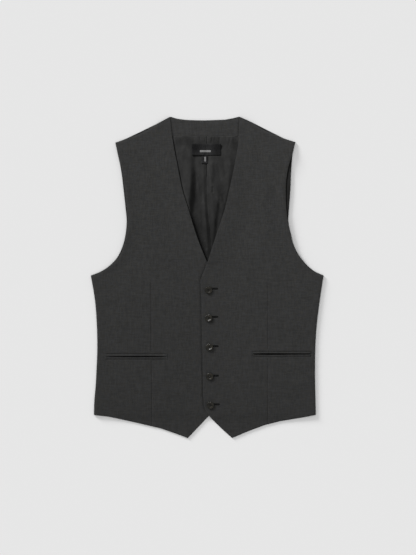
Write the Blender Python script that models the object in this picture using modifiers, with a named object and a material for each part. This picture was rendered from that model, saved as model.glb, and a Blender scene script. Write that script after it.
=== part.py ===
"""A man's suit waistcoat, buttoned and laid flat on its back.

Run with: blender --background --python part.py

The frame has +X toward the wearer's left, +Y toward the neck and +Z up, and z = 0 is the surface that
the back lies on. Tables are in millimetres. "Inner" is a panel's edge at the centre of the body, and
"outer" is its side seam and armhole. The wearer's left front is buttoned over the right one.
"""

from collections import namedtuple

import bmesh
import bpy
import numpy as np

MM = 0.001

# Walls and the clearance between pieces.
GAP = 0.3
BACK_WALL = 1.0
LINING_WALL = 1.0
FRONT_WALL = 2.0
TRIM_WALL = 1.0
FRONT_EDGE_WALL = 1.2
EDGE_ROLL = 3.0

# Heights that the layers lie at.
LINING_FLOOR = BACK_WALL + GAP
FRONT_FLOOR = LINING_FLOOR + LINING_WALL + GAP

# Spacing of the rows of points along a panel.
FRONT_STEP = 19.0
BACK_STEP = 30.0

# Columns of points across a front: their shares of the way from its inner edge to its dart, then past it.
INNER_SPREAD = (0.0, 0.14, 0.28, 0.4, 0.52, 0.75, 1.0)
OUTER_COLUMNS = 5

# How a front leaves its seams, the back's hem and the front below it.
SEAM_ROLL = 5.0
HEM_FALL = 22.0
OVERLAP_GAP = 0.6
OVERLAP_MARGIN = 9.0
OVERLAP_FALL = 30.0

# Air under the middle of a front.
CROWN = 3.0
CROWN_START = 40.0
CROWN_INNER_RAMP = 60.0
CROWN_SEAM_RAMP = 70.0
CROWN_HEM_RAMP = 80.0

# A row for each section across a panel, from its hem up to its shoulder.
Section = namedtuple("Section", "inner_x inner_y outer_x outer_y")

RIGHT_FRONT_SECTIONS = [
    Section(-41.2, -341.5, -240.6, -292.6),
    Section(-18.7, -317.8, -240.2, -276.0),
    Section(3.8, -294.1, -239.4, -258.0),
    Section(17.0, -280.0, -238.2, -241.0),
    Section(23.0, -264.0, -237.2, -226.0),
    Section(24.0, -222.0, -235.9, -199.0),
    Section(24.0, -160.0, -234.0, -152.0),
    Section(24.0, -100.0, -234.2, -98.0),
    Section(24.0, -50.0, -237.8, -46.0),
    Section(24.0, -8.0, -247.1, 3.6),
    Section(15.5, 8.0, -221.9, 14.5),
    Section(6.0, 26.0, -204.0, 27.2),
    Section(0.6, 36.8, -191.5, 40.0),
    Section(-10.0, 68.6, -178.6, 65.5),
    Section(-18.5, 91.0, -172.2, 91.0),
    Section(-28.5, 116.5, -169.6, 116.5),
    Section(-41.0, 151.0, -171.6, 148.0),
    Section(-51.2, 180.2, -175.0, 180.2),
    Section(-64.4, 244.0, -182.2, 231.2),
    Section(-72.5, 286.5, -189.9, 264.0),
    Section(-79.1, 340.6, -195.1, 285.8),
]
LEFT_FRONT_SECTIONS = [
    Section(53.1, -341.5, 230.6, -292.2),
    Section(28.5, -317.8, 230.4, -277.0),
    Section(3.8, -294.1, 230.0, -260.0),
    Section(-5.0, -279.0, 229.6, -243.0),
    Section(-10.0, -256.5, 229.2, -226.0),
    Section(-11.2, -216.0, 229.0, -196.0),
    Section(-11.9, -154.0, 229.8, -146.0),
    Section(-13.0, -98.0, 233.0, -98.0),
    Section(-13.6, -48.0, 239.6, -46.0),
    Section(-14.0, -5.7, 247.1, 4.0),
    Section(-7.2, 12.8, 225.3, 14.5),
    Section(-3.0, 26.0, 210.4, 27.2),
    Section(0.6, 36.8, 199.5, 40.0),
    Section(11.3, 68.6, 184.6, 65.5),
    Section(18.5, 91.0, 177.6, 91.0),
    Section(28.0, 116.5, 172.0, 116.5),
    Section(38.8, 150.0, 168.0, 146.0),
    Section(45.0, 178.0, 166.6, 178.0),
    Section(58.5, 240.0, 171.5, 230.0),
    Section(65.7, 283.7, 179.6, 264.0),
    Section(68.4, 341.0, 187.2, 287.1),
]
UNDERARM_SECTION = 9

# Points along the fronts' hems and shoulders, each from its inner end to its outer one: x, y.
RIGHT_HEM = [
    (-41.2, -341.5),
    (-65.2, -332.6),
    (-99.2, -320.9),
    (-150.2, -309.0),
    (-209.7, -295.8),
    (-240.6, -292.6),
]
LEFT_HEM = [
    (53.1, -341.5),
    (87.8, -326.8),
    (121.8, -314.1),
    (155.8, -305.6),
    (206.8, -296.9),
    (230.6, -292.2),
]
RIGHT_SHOULDER = [(-79.1, 340.6), (-107.7, 325.7), (-141.7, 309.2), (-175.7, 293.0), (-195.1, 285.8)]
LEFT_SHOULDER = [(68.4, 341.0), (96.3, 328.7), (130.3, 311.3), (164.3, 294.3), (187.2, 287.1)]

# How far the back shows past the fronts along the shoulders.
SHOULDER_SHOW = 1.5

# A row for each section across half of the back, from its hem up. The inner x is the centre seam's.
BackSection = namedtuple("BackSection", "inner_y outer_x outer_y")

RIGHT_BACK_SECTIONS = [
    BackSection(-282.0, -240.3, -288.5),
    BackSection(-226.0, -237.2, -226.0),
    BackSection(-152.0, -234.0, -152.0),
    BackSection(-98.0, -234.2, -98.0),
    BackSection(-46.0, -237.8, -46.0),
    BackSection(3.6, -247.1, 3.6),
    BackSection(18.0, -221.9, 14.5),
    BackSection(32.0, -204.4, 27.2),
    BackSection(46.0, -192.5, 40.0),
    BackSection(70.0, -179.8, 65.5),
    BackSection(94.0, -173.4, 91.0),
    BackSection(120.0, -170.9, 116.5),
    BackSection(156.0, -173.4, 148.0),
    BackSection(190.0, -176.8, 180.2),
    BackSection(246.0, -183.4, 231.2),
    BackSection(290.0, -190.4, 264.0),
    BackSection(333.4, -195.1, 287.3),
]
LEFT_BACK_SECTIONS = [
    BackSection(-282.0, 230.5, -288.5),
    BackSection(-226.0, 229.2, -226.0),
    BackSection(-146.0, 229.8, -146.0),
    BackSection(-98.0, 233.0, -98.0),
    BackSection(-46.0, 239.6, -46.0),
    BackSection(4.0, 247.1, 4.0),
    BackSection(18.0, 225.3, 14.5),
    BackSection(32.0, 210.4, 27.2),
    BackSection(46.0, 199.5, 40.0),
    BackSection(70.0, 184.9, 65.5),
    BackSection(94.0, 178.0, 91.0),
    BackSection(120.0, 172.6, 116.5),
    BackSection(156.0, 173.9, 150.0),
    BackSection(190.0, 176.2, 180.2),
    BackSection(246.0, 179.6, 231.2),
    BackSection(290.0, 182.9, 264.0),
    BackSection(333.4, 188.4, 288.6),
]
BACK_UNDERARM_SECTION = 5

# Points along the back's neck, centre seam and hem: x, y, with the hem's x counted from the middle.
RIGHT_NECK = [(-5.0, 333.4), (-30.0, 333.8), (-48.2, 334.7), (-65.2, 337.2), (-78.6, 341.5)]
LEFT_NECK = [(-5.0, 333.4), (20.0, 334.2), (36.8, 334.9), (53.8, 337.7), (68.4, 341.5)]
CENTRE_SEAM = [(2.0, -282.0), (-5.0, 333.4)]
BACK_HEM = [(0.0, -282.0), (240.0, -288.5)]

# The neck facing. The fronts stay level over it out to its reach, then come down to the shoulder seam.
FACING_FOOT = 299.7
FACING_HALF = 92.0
FACING_REACH = 112.0
FACING_FALL = 14.0
FACING_INSET = 0.4

# The back's lining: it stops short of the seams under the fronts, and rises past the facing's ends.
LINING_HEM = -272.0
LINING_INSET = 14.0
LINING_TOP_OUTER = 266.0
LINING_CORNERS = (98.0, 112.0)
LINING_CORNER_RISE = 12.0
LINING_SHOWN_COLUMNS = 8
LINING_LEAST_SHOWN = 0.06
LINING_MIDDLE = (0.0, 60.0)
NECKLINE_PROBES = 201

# The lining's puffed strip below the facing.
PUFF = 0.5
PUFF_FOOT = 284.0
PUFF_RAMP = 4.0

# The centre pleat: the left half of the lining is lifted, and laps over the right half.
PLEAT_LINE = [
    (2.0, -272.0),
    (6.0, 30.0),
    (3.0, 79.0),
    (-0.4, 111.0),
    (-4.2, 152.0),
    (-6.0, 200.0),
    (-3.0, 240.0),
    (-3.0, 299.7),
]
PLEAT_LAP = 8.0
PLEAT_LIFT = 1.4
PLEAT_SLOPE = 9.0

# Where along the pleat its lift and its lap start and end, and how long each takes: y, length.
LIFT_FOOT = (70.0, 20.0)
LIFT_HEAD = (250.0, 12.0)
LAP_FOOT = (110.0, 30.0)
LAP_HEAD = (216.0, 20.0)

# The lining is calm for this far inside the necklines, where the fronts lie on it.
NECK_CALM = 8.0

# A row for each fold of the lining that shows in the neck, and each soft ridge of a front. A fold is half
# as high at its ends, and runs out past them by half of this share of its length.
Fold = namedtuple("Fold", "x0 y0 x1 y1 half_width height")
FOLD_FADE = 0.25

LINING_FOLDS = [
    Fold(-33.0, 250.0, -37.0, 222.0, 6.0, 1.6),
    Fold(-37.0, 222.0, -41.0, 160.0, 6.0, 2.2),
    Fold(-19.0, 236.0, -20.0, 150.0, 7.0, 0.9),
    Fold(23.0, 244.0, 30.0, 196.0, 7.0, 1.4),
    Fold(42.0, 276.0, 50.0, 236.0, 6.0, 1.2),
    Fold(13.0, 170.0, 15.0, 108.0, 5.0, 1.1),
]
FRONT_FOLDS = [
    Fold(88.0, 274.0, 134.0, 176.0, 16.0, 0.9),
    Fold(-96.0, 262.0, -128.0, 170.0, 18.0, 0.6),
    Fold(-60.0, 60.0, -150.0, 20.0, 20.0, 0.5),
    Fold(62.0, 66.0, 150.0, 26.0, 20.0, 0.5),
]

# The darts: a groove down each front, which stops short of the pocket.
RIGHT_DART_X = -120.3
LEFT_DART_X = 127.5
DART_DEPTH = 0.7
DART_HALF = 4.0
DART_TOP = -3.0
DART_FADE = 24.0
DART_STOP = 9.0
DART_COLUMN_RANGE = (0.3, 0.7)

# A row for each double-welted pocket.
Pocket = namedtuple("Pocket", "side x0 x1 mouth_y upper lower")

POCKETS = [
    Pocket("right", -216.0, -84.0, -168.3, 6.2, 5.4),
    Pocket("left", 96.3, 220.6, -162.4, 4.9, 5.6),
]
POCKET_MOUTH = 1.2
WELT_LIFT = 0.45
WELT_POINTS = (18, 3)

# The woven label below the facing, and the size tab at its foot: a row for each.
Label = namedtuple("Label", "name x y width height")

LABELS = [
    Label("label", -1.6, 271.0, 61.8, 25.0),
    Label("size_tab", -5.4, 249.8, 13.8, 16.6),
]
LABEL_LIFT = 0.5
LABEL_POINTS = (7, 4)

# The buttons, down the left front, and half of a button's section: radius, height.
BUTTON_CENTRES = [(2.8, -27.0), (3.1, -86.7), (4.6, -148.1), (5.2, -210.2), (6.8, -270.9)]
BUTTON_PROFILE = [
    (0.0, 1.9),
    (4.4, 1.9),
    (5.5, 2.9),
    (6.7, 3.0),
    (7.6, 2.3),
    (7.75, 1.5),
    (6.9, 0.4),
    (5.6, 0.0),
    (0.0, 0.0),
]
BUTTON_STEPS = 18
BUTTON_MERGE = 0.01
HOLE_RADIUS = 0.85
HOLE_OFFSET = 1.45
HOLE_SIDES = 8
HOLE_DEPTH = 8.0

# A row for each material, with its linear colour.
Look = namedtuple("Look", "name colour roughness")

LOOKS = [
    Look("wool", (0.033, 0.033, 0.032, 1.0), 0.92),
    Look("satin", (0.018, 0.018, 0.019, 1.0), 0.45),
    Look("woven_label", (0.008, 0.008, 0.009, 1.0), 0.6),
    Look("horn", (0.016, 0.012, 0.010, 1.0), 0.3),
]


def ease(value):
    """A smooth step from 0 to 1."""
    share = np.clip(value, 0.0, 1.0)
    return share * share * (3.0 - 2.0 * share)


def flow(table, corner, step):
    """Rows of numbers on smooth curves through a table's rows, with a break in direction at one of them."""
    table = np.array(table, dtype=float)
    rows = []
    for part in (table[: corner + 1], table[corner:]):
        lengths = np.abs(np.diff(part, axis=0)).max(axis=1)
        knots = np.concatenate([[0.0], np.cumsum(lengths)])
        slopes = np.gradient(part, knots, axis=0)
        for i, length in enumerate(lengths):
            count = max(1, round(length / step))
            for share in np.arange(count) / count:
                stay = 2 * share**3 - 3 * share**2 + 1
                leave = (share**3 - 2 * share**2 + share) * length
                arrive = (share**3 - share**2) * length
                row = stay * part[i] + (1 - stay) * part[i + 1]
                rows.append(row + leave * slopes[i] + arrive * slopes[i + 1])
    rows.append(table[-1])
    return np.array(rows)


def bordered(rows, near_start, near_end):
    """The rows with more of them at set distances from the first row and from the last."""
    first, second = rows[0], rows[1]
    last, before = rows[-1], rows[-2]
    onward = (second - first) / np.abs(second - first).max()
    backward = (before - last) / np.abs(before - last).max()
    opening = [first + onward * near for near in near_start]
    closing = [last + backward * near for near in near_end]
    return np.array([first, *opening, *rows[1:-1], *closing, last])


def bend(edge, shares):
    """How far an edge's points stand above its straight chord, at shares of the chord."""
    edge = np.array(edge)
    along = (edge[:, 0] - edge[0, 0]) / (edge[-1, 0] - edge[0, 0])
    above = edge[:, 1] - edge[0, 1] - along * (edge[-1, 1] - edge[0, 1])
    return np.interp(shares, along, above)


def spread(rows, hem, top, shares):
    """A grid of points: each row runs from its inner to its outer end, bent as the hem and the top are."""
    climbs = np.linalg.norm(np.diff((rows[:, :2] + rows[:, 2:]) / 2, axis=0), axis=1)
    heights = np.concatenate([[0.0], np.cumsum(climbs)]) / climbs.sum()
    shares = np.broadcast_to(shares, (len(rows), np.shape(shares)[-1]))
    grid = rows[:, None, :2] + shares[..., None] * (rows[:, None, 2:] - rows[:, None, :2])
    grid[..., 1] += (1 - heights[:, None]) * bend(hem, shares) + heights[:, None] * bend(top, shares)
    return grid


def distance_to(points, path):
    """Each point's distance to a path of straight runs."""
    nearest = np.full(points.shape[:-1], np.inf)
    for start, end in zip(path[:-1], path[1:]):
        run = end - start
        if not run.any():
            continue
        share = np.clip(((points - start) @ run) / (run @ run), 0.0, 1.0)
        gap = np.linalg.norm(points - start - share[..., None] * run, axis=-1)
        nearest = np.minimum(nearest, gap)
    return nearest


def rim(grid):
    """The outline of a grid of points."""
    return np.concatenate([grid[0], grid[:, -1], grid[-1, ::-1], grid[::-1, 0]])


def inset(path, distance, toward):
    """A path moved sideways by a distance, to the side that a point lies on."""
    tangent = np.gradient(path, axis=0)
    normal = np.stack([-tangent[:, 1], tangent[:, 0]], axis=1)
    normal /= np.linalg.norm(normal, axis=1)[:, None]
    side = np.sign(((toward - path) * normal).sum(axis=1))
    return path + distance * side[:, None] * normal


def folded(points, folds):
    """The height that a table of soft ridges adds at each point."""
    height = np.zeros(points.shape[:-1])
    for fold in folds:
        start = np.array([fold.x0, fold.y0])
        run = np.array([fold.x1, fold.y1]) - start
        share = ((points - start) @ run) / (run @ run)
        across = np.linalg.norm(points - start - share[..., None] * run, axis=-1)
        ends = ease(share / FOLD_FADE + 0.5) * ease((1 - share) / FOLD_FADE + 0.5)
        height += fold.height * ends * np.exp(-((across / fold.half_width) ** 2))
    return height


def x_along(line, y):
    """The x of a line that runs up from hem to neck, at each y."""
    line = np.array(line)
    return np.interp(y, line[:, 1], line[:, 0])


def between(y, foot, head):
    """1 along a stretch, easing from 0 at its foot and back to 0 at its head."""
    return ease((y - foot[0]) / foot[1]) * ease((head[0] - y) / head[1])


def new_material(look):
    material = bpy.data.materials.new(look.name)
    material.use_nodes = True
    shader = material.node_tree.nodes["Principled BSDF"]
    shader.inputs["Base Color"].default_value = look.colour
    shader.inputs["Roughness"].default_value = look.roughness
    shader.inputs["Metallic"].default_value = 0.0
    return material


def add_wall(name, grid, low, high, material, collection):
    """A closed cloth wall lofted between two sheets over the same grid of points."""
    rows, columns = grid.shape[:2]
    mesh = bmesh.new()
    sheets = []
    for level in (low, high):
        level = np.broadcast_to(level, (rows, columns))
        points = np.dstack([grid, level]) * MM
        sheets.append([[mesh.verts.new(point) for point in line] for line in points])
    lower, upper = sheets
    for sheet in sheets:
        for r in range(rows - 1):
            for c in range(columns - 1):
                mesh.faces.new((sheet[r][c], sheet[r][c + 1], sheet[r + 1][c + 1], sheet[r + 1][c]))
    around = [(0, c) for c in range(columns)]
    around += [(r, columns - 1) for r in range(1, rows)]
    around += [(rows - 1, c) for c in range(columns - 2, -1, -1)]
    around += [(r, 0) for r in range(rows - 2, 0, -1)]
    for (r0, c0), (r1, c1) in zip(around, around[1:] + around[:1]):
        mesh.faces.new((lower[r0][c0], lower[r1][c1], upper[r1][c1], upper[r0][c0]))
    bmesh.ops.recalc_face_normals(mesh, faces=mesh.faces)
    data = bpy.data.meshes.new(name)
    mesh.to_mesh(data)
    mesh.free()
    data.materials.append(material)
    collection.objects.link(bpy.data.objects.new(name, data))


class Front:
    """The points and heights of one front."""

    def __init__(self, sections, hem, shoulder, dart_x, under=None):
        rows = flow(sections, UNDERARM_SECTION, FRONT_STEP)
        rows = bordered(rows, [EDGE_ROLL], [SEAM_ROLL, SEAM_ROLL / 2])
        self.dart_x = dart_x
        self.under = under
        self.grid = spread(rows, hem, shoulder, np.array([self.columns(row) for row in rows]))
        self.inner = self.grid[:, 0]
        self.outer = self.grid[:, -1]
        self.hem = self.grid[0]
        self.shoulder = self.grid[-1]
        self.seams = np.concatenate([self.outer, self.shoulder[::-1]])
        self.outline = rim(self.grid)

    def columns(self, row):
        """Shares across a row, close together at both edges and at the dart."""
        width = np.linalg.norm(row[2:] - row[:2])
        dart = width * np.clip((self.dart_x - row[0]) / (row[2] - row[0]), *DART_COLUMN_RANGE)
        inside = EDGE_ROLL + np.array(INNER_SPREAD) * (dart - DART_HALF - EDGE_ROLL)
        outside = np.linspace(dart + DART_HALF, width - SEAM_ROLL, OUTER_COLUMNS)
        return np.array([0.0, *inside, dart, *outside, width - SEAM_ROLL / 2, width]) / width

    def lining_support(self, points):
        """The height of what lies below: the back at the seams, the lining or the facing inside them."""
        inland = ease(distance_to(points, self.seams) / SEAM_ROLL)
        on_facing = ease((FACING_REACH - np.abs(points[..., 0])) / FACING_FALL)
        height = LINING_FLOOR + (FRONT_FLOOR - LINING_FLOOR) * np.maximum(inland, on_facing)
        hem_x, hem_y = np.array(BACK_HEM).T
        past_hem = np.interp(np.abs(points[..., 0]), hem_x, hem_y) - points[..., 1]
        return height * (1 - ease(past_hem / HEM_FALL))

    def crown(self, points):
        """The air under the middle of the front, and its soft ridges."""
        from_seam = ease(distance_to(points, self.seams) / CROWN_SEAM_RAMP)
        from_inner = ease((distance_to(points, self.inner) - CROWN_START) / CROWN_INNER_RAMP)
        from_hem = ease(distance_to(points, self.hem) / CROWN_HEM_RAMP)
        return CROWN * from_seam * from_inner * from_hem + folded(points, FRONT_FOLDS) * from_seam

    def overlap(self, points):
        """How far this front is lifted where it lies over the front below it."""
        if self.under is None:
            return 0.0
        past = points[..., 0] - x_along(self.under.inner, points[..., 1]) - OVERLAP_MARGIN
        return (FRONT_WALL + OVERLAP_GAP) * (1 - ease(past / OVERLAP_FALL))

    def low(self, points):
        """The height of the front's underside."""
        return self.lining_support(points) + self.crown(points) + self.overlap(points)

    def high(self, points):
        """The height of its upper side: rolled at the edges, with a groove along the dart."""
        edge = ease(distance_to(points, self.outline) / EDGE_ROLL)
        wall = FRONT_EDGE_WALL + (FRONT_WALL - FRONT_EDGE_WALL) * edge
        x, y = points[..., 0], points[..., 1]
        groove = np.clip(1 - np.abs(x - self.dart_x) / DART_HALF, 0.0, 1.0)
        groove = groove * ease((DART_TOP - y) / DART_FADE)
        for pocket in POCKETS:
            groove = groove * ease((np.abs(y - pocket.mouth_y) - DART_STOP) / DART_STOP)
        return self.low(points) + wall - DART_DEPTH * groove


def add_fronts(materials, collection):
    """Both fronts: the left one lies over the right one."""
    right = Front(RIGHT_FRONT_SECTIONS, RIGHT_HEM, RIGHT_SHOULDER, RIGHT_DART_X)
    left = Front(LEFT_FRONT_SECTIONS, LEFT_HEM, LEFT_SHOULDER, LEFT_DART_X, under=right)
    fronts = {"right": right, "left": left}
    for side, front in fronts.items():
        low, high = front.low(front.grid), front.high(front.grid)
        add_wall(f"front_{side}", front.grid, low, high, materials["wool"], collection)
    return fronts


def back_rows(sections):
    """Rows of one half of the back, each starting half a gap from the centre seam."""
    side = np.sign(sections[0].outer_x)
    rows = []
    for section in sections:
        seam = x_along(CENTRE_SEAM, section.inner_y) + side * GAP / 2
        rows.append((seam, section.inner_y, section.outer_x, section.outer_y))
    return rows


def add_backs(materials, collection):
    """The two halves of the back, flat on the surface they lie on."""
    halves = {
        "right": (RIGHT_BACK_SECTIONS, RIGHT_NECK, RIGHT_SHOULDER),
        "left": (LEFT_BACK_SECTIONS, LEFT_NECK, LEFT_SHOULDER),
    }
    for side, (sections, neck, shoulder) in halves.items():
        rows = flow(back_rows(sections), BACK_UNDERARM_SECTION, BACK_STEP)
        top = neck + [(x, y + SHOULDER_SHOW) for x, y in shoulder[1:]]
        tips = np.array(top)[:, 0]
        shares = (tips - tips[0]) / (tips[-1] - tips[0])
        grid = spread(rows, rows[0].reshape(2, 2), top, shares)
        add_wall(f"back_{side}", grid, 0.0, BACK_WALL, materials["satin"], collection)


def add_facing(materials, collection):
    """The wool facing inside the back neck, from the neck's edge down to the lining."""
    edge = np.array(RIGHT_SHOULDER[::-1] + RIGHT_NECK[-2::-1] + LEFT_NECK[1:-1] + LEFT_SHOULDER)
    neck = edge[np.abs(edge[:, 0]) < FACING_HALF, 0]
    x = np.array([-FACING_HALF, *neck, FACING_HALF])
    top = np.interp(x, edge[:, 0], edge[:, 1]) - FACING_INSET
    foot = np.full_like(x, FACING_FOOT + GAP)
    grid = np.dstack([np.broadcast_to(x, (3, len(x))), [foot, (foot + top) / 2, top]])
    add_wall("neck_facing", grid, LINING_FLOOR, LINING_FLOOR + LINING_WALL, materials["wool"], collection)


def inside_neck(points, fronts):
    """How deep each point lies inside the open neck, from the nearer neckline."""
    x, y = points[..., 0], points[..., 1]
    return np.minimum(x - x_along(fronts["right"].inner, y), x_along(fronts["left"].inner, y) - x)


def lining_low(side, points, fronts):
    """The height of the underside of half of the lining: its folds, and its lift where it laps."""
    x, y = points[..., 0], points[..., 1]
    past_pleat = x - x_along(PLEAT_LINE, y)
    height = folded(points, LINING_FOLDS)
    height = height + PUFF * between(y, (PUFF_FOOT, PUFF_RAMP), (FACING_FOOT, PUFF_RAMP))
    if side == "left":
        lift = PLEAT_LIFT * between(y, LIFT_FOOT, LIFT_HEAD)
        height = height + lift * (1 - ease((past_pleat - PLEAT_SLOPE) / PLEAT_SLOPE))
    else:
        height = height * (1 - ease((past_pleat + PLEAT_LAP) / PLEAT_LAP))
    return LINING_FLOOR + height * ease(inside_neck(points, fronts) / NECK_CALM)


def neckline_shares(rows, hem, top, fronts):
    """Shares across each row of the lining, with one column on the neckline that crosses it."""
    probes = np.linspace(0.0, 1.0, NECKLINE_PROBES)
    inside = inside_neck(spread(rows, hem, top, probes), fronts)
    neckline = np.maximum((inside > 0).mean(axis=1), LINING_LEAST_SHOWN)[:, None]
    shown = neckline * np.linspace(0.0, 1.0, LINING_SHOWN_COLUMNS)
    corners = np.sign(rows[0, 2]) * np.array(LINING_CORNERS)
    corners = (corners - rows[:, :1]) / (rows[:, 2:3] - rows[:, :1])
    return np.hstack([shown, corners, (1 + corners[:, 1:]) / 2, np.ones_like(neckline)])


def lining_rows(side, front):
    """Rows across half of the lining, from the pleat to just inside the side seam and the armhole."""
    outer = inset(front.outer, LINING_INSET, np.array(LINING_MIDDLE))
    outer = outer[(outer[:, 1] > LINING_HEM) & (outer[:, 1] < LINING_TOP_OUTER)]
    inner_y = np.linspace(LINING_HEM, FACING_FOOT, len(outer))
    pleat = x_along(PLEAT_LINE, inner_y)
    if side == "left":
        inner_x = pleat + GAP / 2
    else:
        inner_x = pleat - GAP / 2 + PLEAT_LAP * between(inner_y, LAP_FOOT, LAP_HEAD)
    return np.column_stack([inner_x, inner_y, outer])


def add_linings(fronts, materials, collection):
    """Both halves of the back's lining. The left one laps over the right one along the centre pleat."""
    for side, front in fronts.items():
        rows = lining_rows(side, front)
        sign = np.sign(rows[0, 2])
        top = [
            (rows[-1, 0], FACING_FOOT),
            (sign * LINING_CORNERS[0], FACING_FOOT),
            (sign * LINING_CORNERS[1], FACING_FOOT + LINING_CORNER_RISE),
            (rows[-1, 2], rows[-1, 3]),
        ]
        hem = rows[0].reshape(2, 2)
        grid = spread(rows, hem, top, neckline_shares(rows, hem, top, fronts))
        low = lining_low(side, grid, fronts)
        add_wall(f"back_lining_{side}", grid, low, low + LINING_WALL, materials["satin"], collection)


def rectangle(x_range, y_range, points):
    """A grid of points over an upright rectangle."""
    across, up = points
    return np.dstack(np.meshgrid(np.linspace(*x_range, across), np.linspace(*y_range, up)))


def add_labels(fronts, materials, collection):
    """The label and the tab, which lie flat on the highest of the lining below them."""
    for label in LABELS:
        x_range = (label.x - label.width / 2, label.x + label.width / 2)
        y_range = (label.y - label.height / 2, label.y + label.height / 2)
        grid = rectangle(x_range, y_range, LABEL_POINTS)
        below = max(lining_low(side, grid, fronts).max() for side in fronts)
        low = below + LINING_WALL + LABEL_LIFT
        add_wall(label.name, grid, low, low + TRIM_WALL, materials["woven_label"], collection)


def add_welts(fronts, materials, collection):
    """An upper and a lower welt for each pocket, lying on their front's own surface."""
    for pocket in POCKETS:
        above, below = pocket.mouth_y + POCKET_MOUTH / 2, pocket.mouth_y - POCKET_MOUTH / 2
        welts = {
            "upper": (above, pocket.mouth_y + pocket.upper),
            "lower": (pocket.mouth_y - pocket.lower, below),
        }
        for place, y_range in welts.items():
            grid = rectangle((pocket.x0, pocket.x1), y_range, WELT_POINTS)
            low = fronts[pocket.side].high(grid) + WELT_LIFT
            name = f"pocket_{pocket.side}_{place}_welt"
            add_wall(name, grid, low, low + TRIM_WALL, materials["wool"], collection)


def add_hole_cutter(collection):
    """Four pins, which cut the sewing holes of a button."""
    mesh = bmesh.new()
    for x in (-HOLE_OFFSET, HOLE_OFFSET):
        for y in (-HOLE_OFFSET, HOLE_OFFSET):
            made = bmesh.ops.create_cone(
                mesh,
                cap_ends=True,
                segments=HOLE_SIDES,
                radius1=HOLE_RADIUS * MM,
                radius2=HOLE_RADIUS * MM,
                depth=HOLE_DEPTH * MM,
            )
            bmesh.ops.translate(mesh, verts=made["verts"], vec=(x * MM, y * MM, 0.0))
    data = bpy.data.meshes.new("button_holes")
    mesh.to_mesh(data)
    mesh.free()
    cutter = bpy.data.objects.new("button_holes", data)
    cutter.hide_render = True
    cutter.display_type = "WIRE"
    collection.objects.link(cutter)
    return cutter


def add_buttons(fronts, materials, collection, cutters):
    """Turned buttons with four holes each, standing on the left front."""
    profile = bpy.data.meshes.new("button_profile")
    points = [(radius * MM, 0.0, height * MM) for radius, height in BUTTON_PROFILE]
    profile.from_pydata(points, [(i, i + 1) for i in range(len(points) - 1)], [])
    profile.materials.append(materials["horn"])
    for number, (x, y) in enumerate(BUTTON_CENTRES, start=1):
        seat = fronts["left"].high(np.array([x, y])).item() + GAP
        button = bpy.data.objects.new(f"button_{number}", profile)
        button.location = (x * MM, y * MM, seat * MM)
        collection.objects.link(button)
        turn = button.modifiers.new("turn", "SCREW")
        turn.steps = BUTTON_STEPS
        turn.render_steps = BUTTON_STEPS
        turn.use_merge_vertices = True
        turn.merge_threshold = BUTTON_MERGE * MM
        cutter = add_hole_cutter(cutters)
        cutter.parent = button
        cut = button.modifiers.new("holes", "BOOLEAN")
        cut.operation = "DIFFERENCE"
        cut.object = cutter


def main():
    for item in list(bpy.data.objects):
        bpy.data.objects.remove(item, do_unlink=True)
    waistcoat = bpy.data.collections.new("suit_waistcoat")
    cutters = bpy.data.collections.new("cutters")
    bpy.context.scene.collection.children.link(waistcoat)
    bpy.context.scene.collection.children.link(cutters)
    materials = {look.name: new_material(look) for look in LOOKS}
    fronts = add_fronts(materials, waistcoat)
    add_backs(materials, waistcoat)
    add_facing(materials, waistcoat)
    add_linings(fronts, materials, waistcoat)
    add_labels(fronts, materials, waistcoat)
    add_welts(fronts, materials, waistcoat)
    add_buttons(fronts, materials, waistcoat, cutters)


main()
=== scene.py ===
"""A man's suit waistcoat, buttoned and laid flat on its back, seen from straight above.

Tables are in millimetres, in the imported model's frame: +X toward the wearer's left, +Y toward the neck
and +Z up from the surface. The cloth pieces are thin walls on the forms of their solids, with finer
points, creases, rolled edges and seams. Sewing and thread are pieces of their own.
"""

import math
from collections import namedtuple

import bmesh
import bpy
import numpy as np
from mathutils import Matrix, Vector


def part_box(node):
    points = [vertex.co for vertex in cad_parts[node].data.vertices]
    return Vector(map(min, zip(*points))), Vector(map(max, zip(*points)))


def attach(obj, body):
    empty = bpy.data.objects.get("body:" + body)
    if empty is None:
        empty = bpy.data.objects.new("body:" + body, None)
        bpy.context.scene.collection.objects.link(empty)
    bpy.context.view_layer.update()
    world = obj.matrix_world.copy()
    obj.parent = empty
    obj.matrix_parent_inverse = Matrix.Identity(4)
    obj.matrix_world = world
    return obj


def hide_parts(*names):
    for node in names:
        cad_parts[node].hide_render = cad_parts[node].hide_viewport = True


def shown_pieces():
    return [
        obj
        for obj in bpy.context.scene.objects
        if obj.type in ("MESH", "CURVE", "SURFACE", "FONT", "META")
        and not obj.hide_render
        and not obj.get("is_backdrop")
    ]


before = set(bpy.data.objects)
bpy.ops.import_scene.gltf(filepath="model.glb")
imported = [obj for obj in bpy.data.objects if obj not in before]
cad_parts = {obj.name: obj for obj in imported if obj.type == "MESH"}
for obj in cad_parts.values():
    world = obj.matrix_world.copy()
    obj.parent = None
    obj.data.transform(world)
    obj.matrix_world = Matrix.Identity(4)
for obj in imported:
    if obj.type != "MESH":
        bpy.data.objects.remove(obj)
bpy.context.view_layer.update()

MM = 0.001
SIDES = ("right", "left")

# Walls, the air left between pieces, and the heights that the layers lie at.
GAP = 0.06
BACK_WALL = 1
LINING_WALL = 1
FRONT_WALL = 2
FRONT_EDGE_WALL = 1.75
LEAST_WALL = 0.1
LINING_FLOOR = BACK_WALL + GAP
FRONT_FLOOR = 2.5

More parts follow.
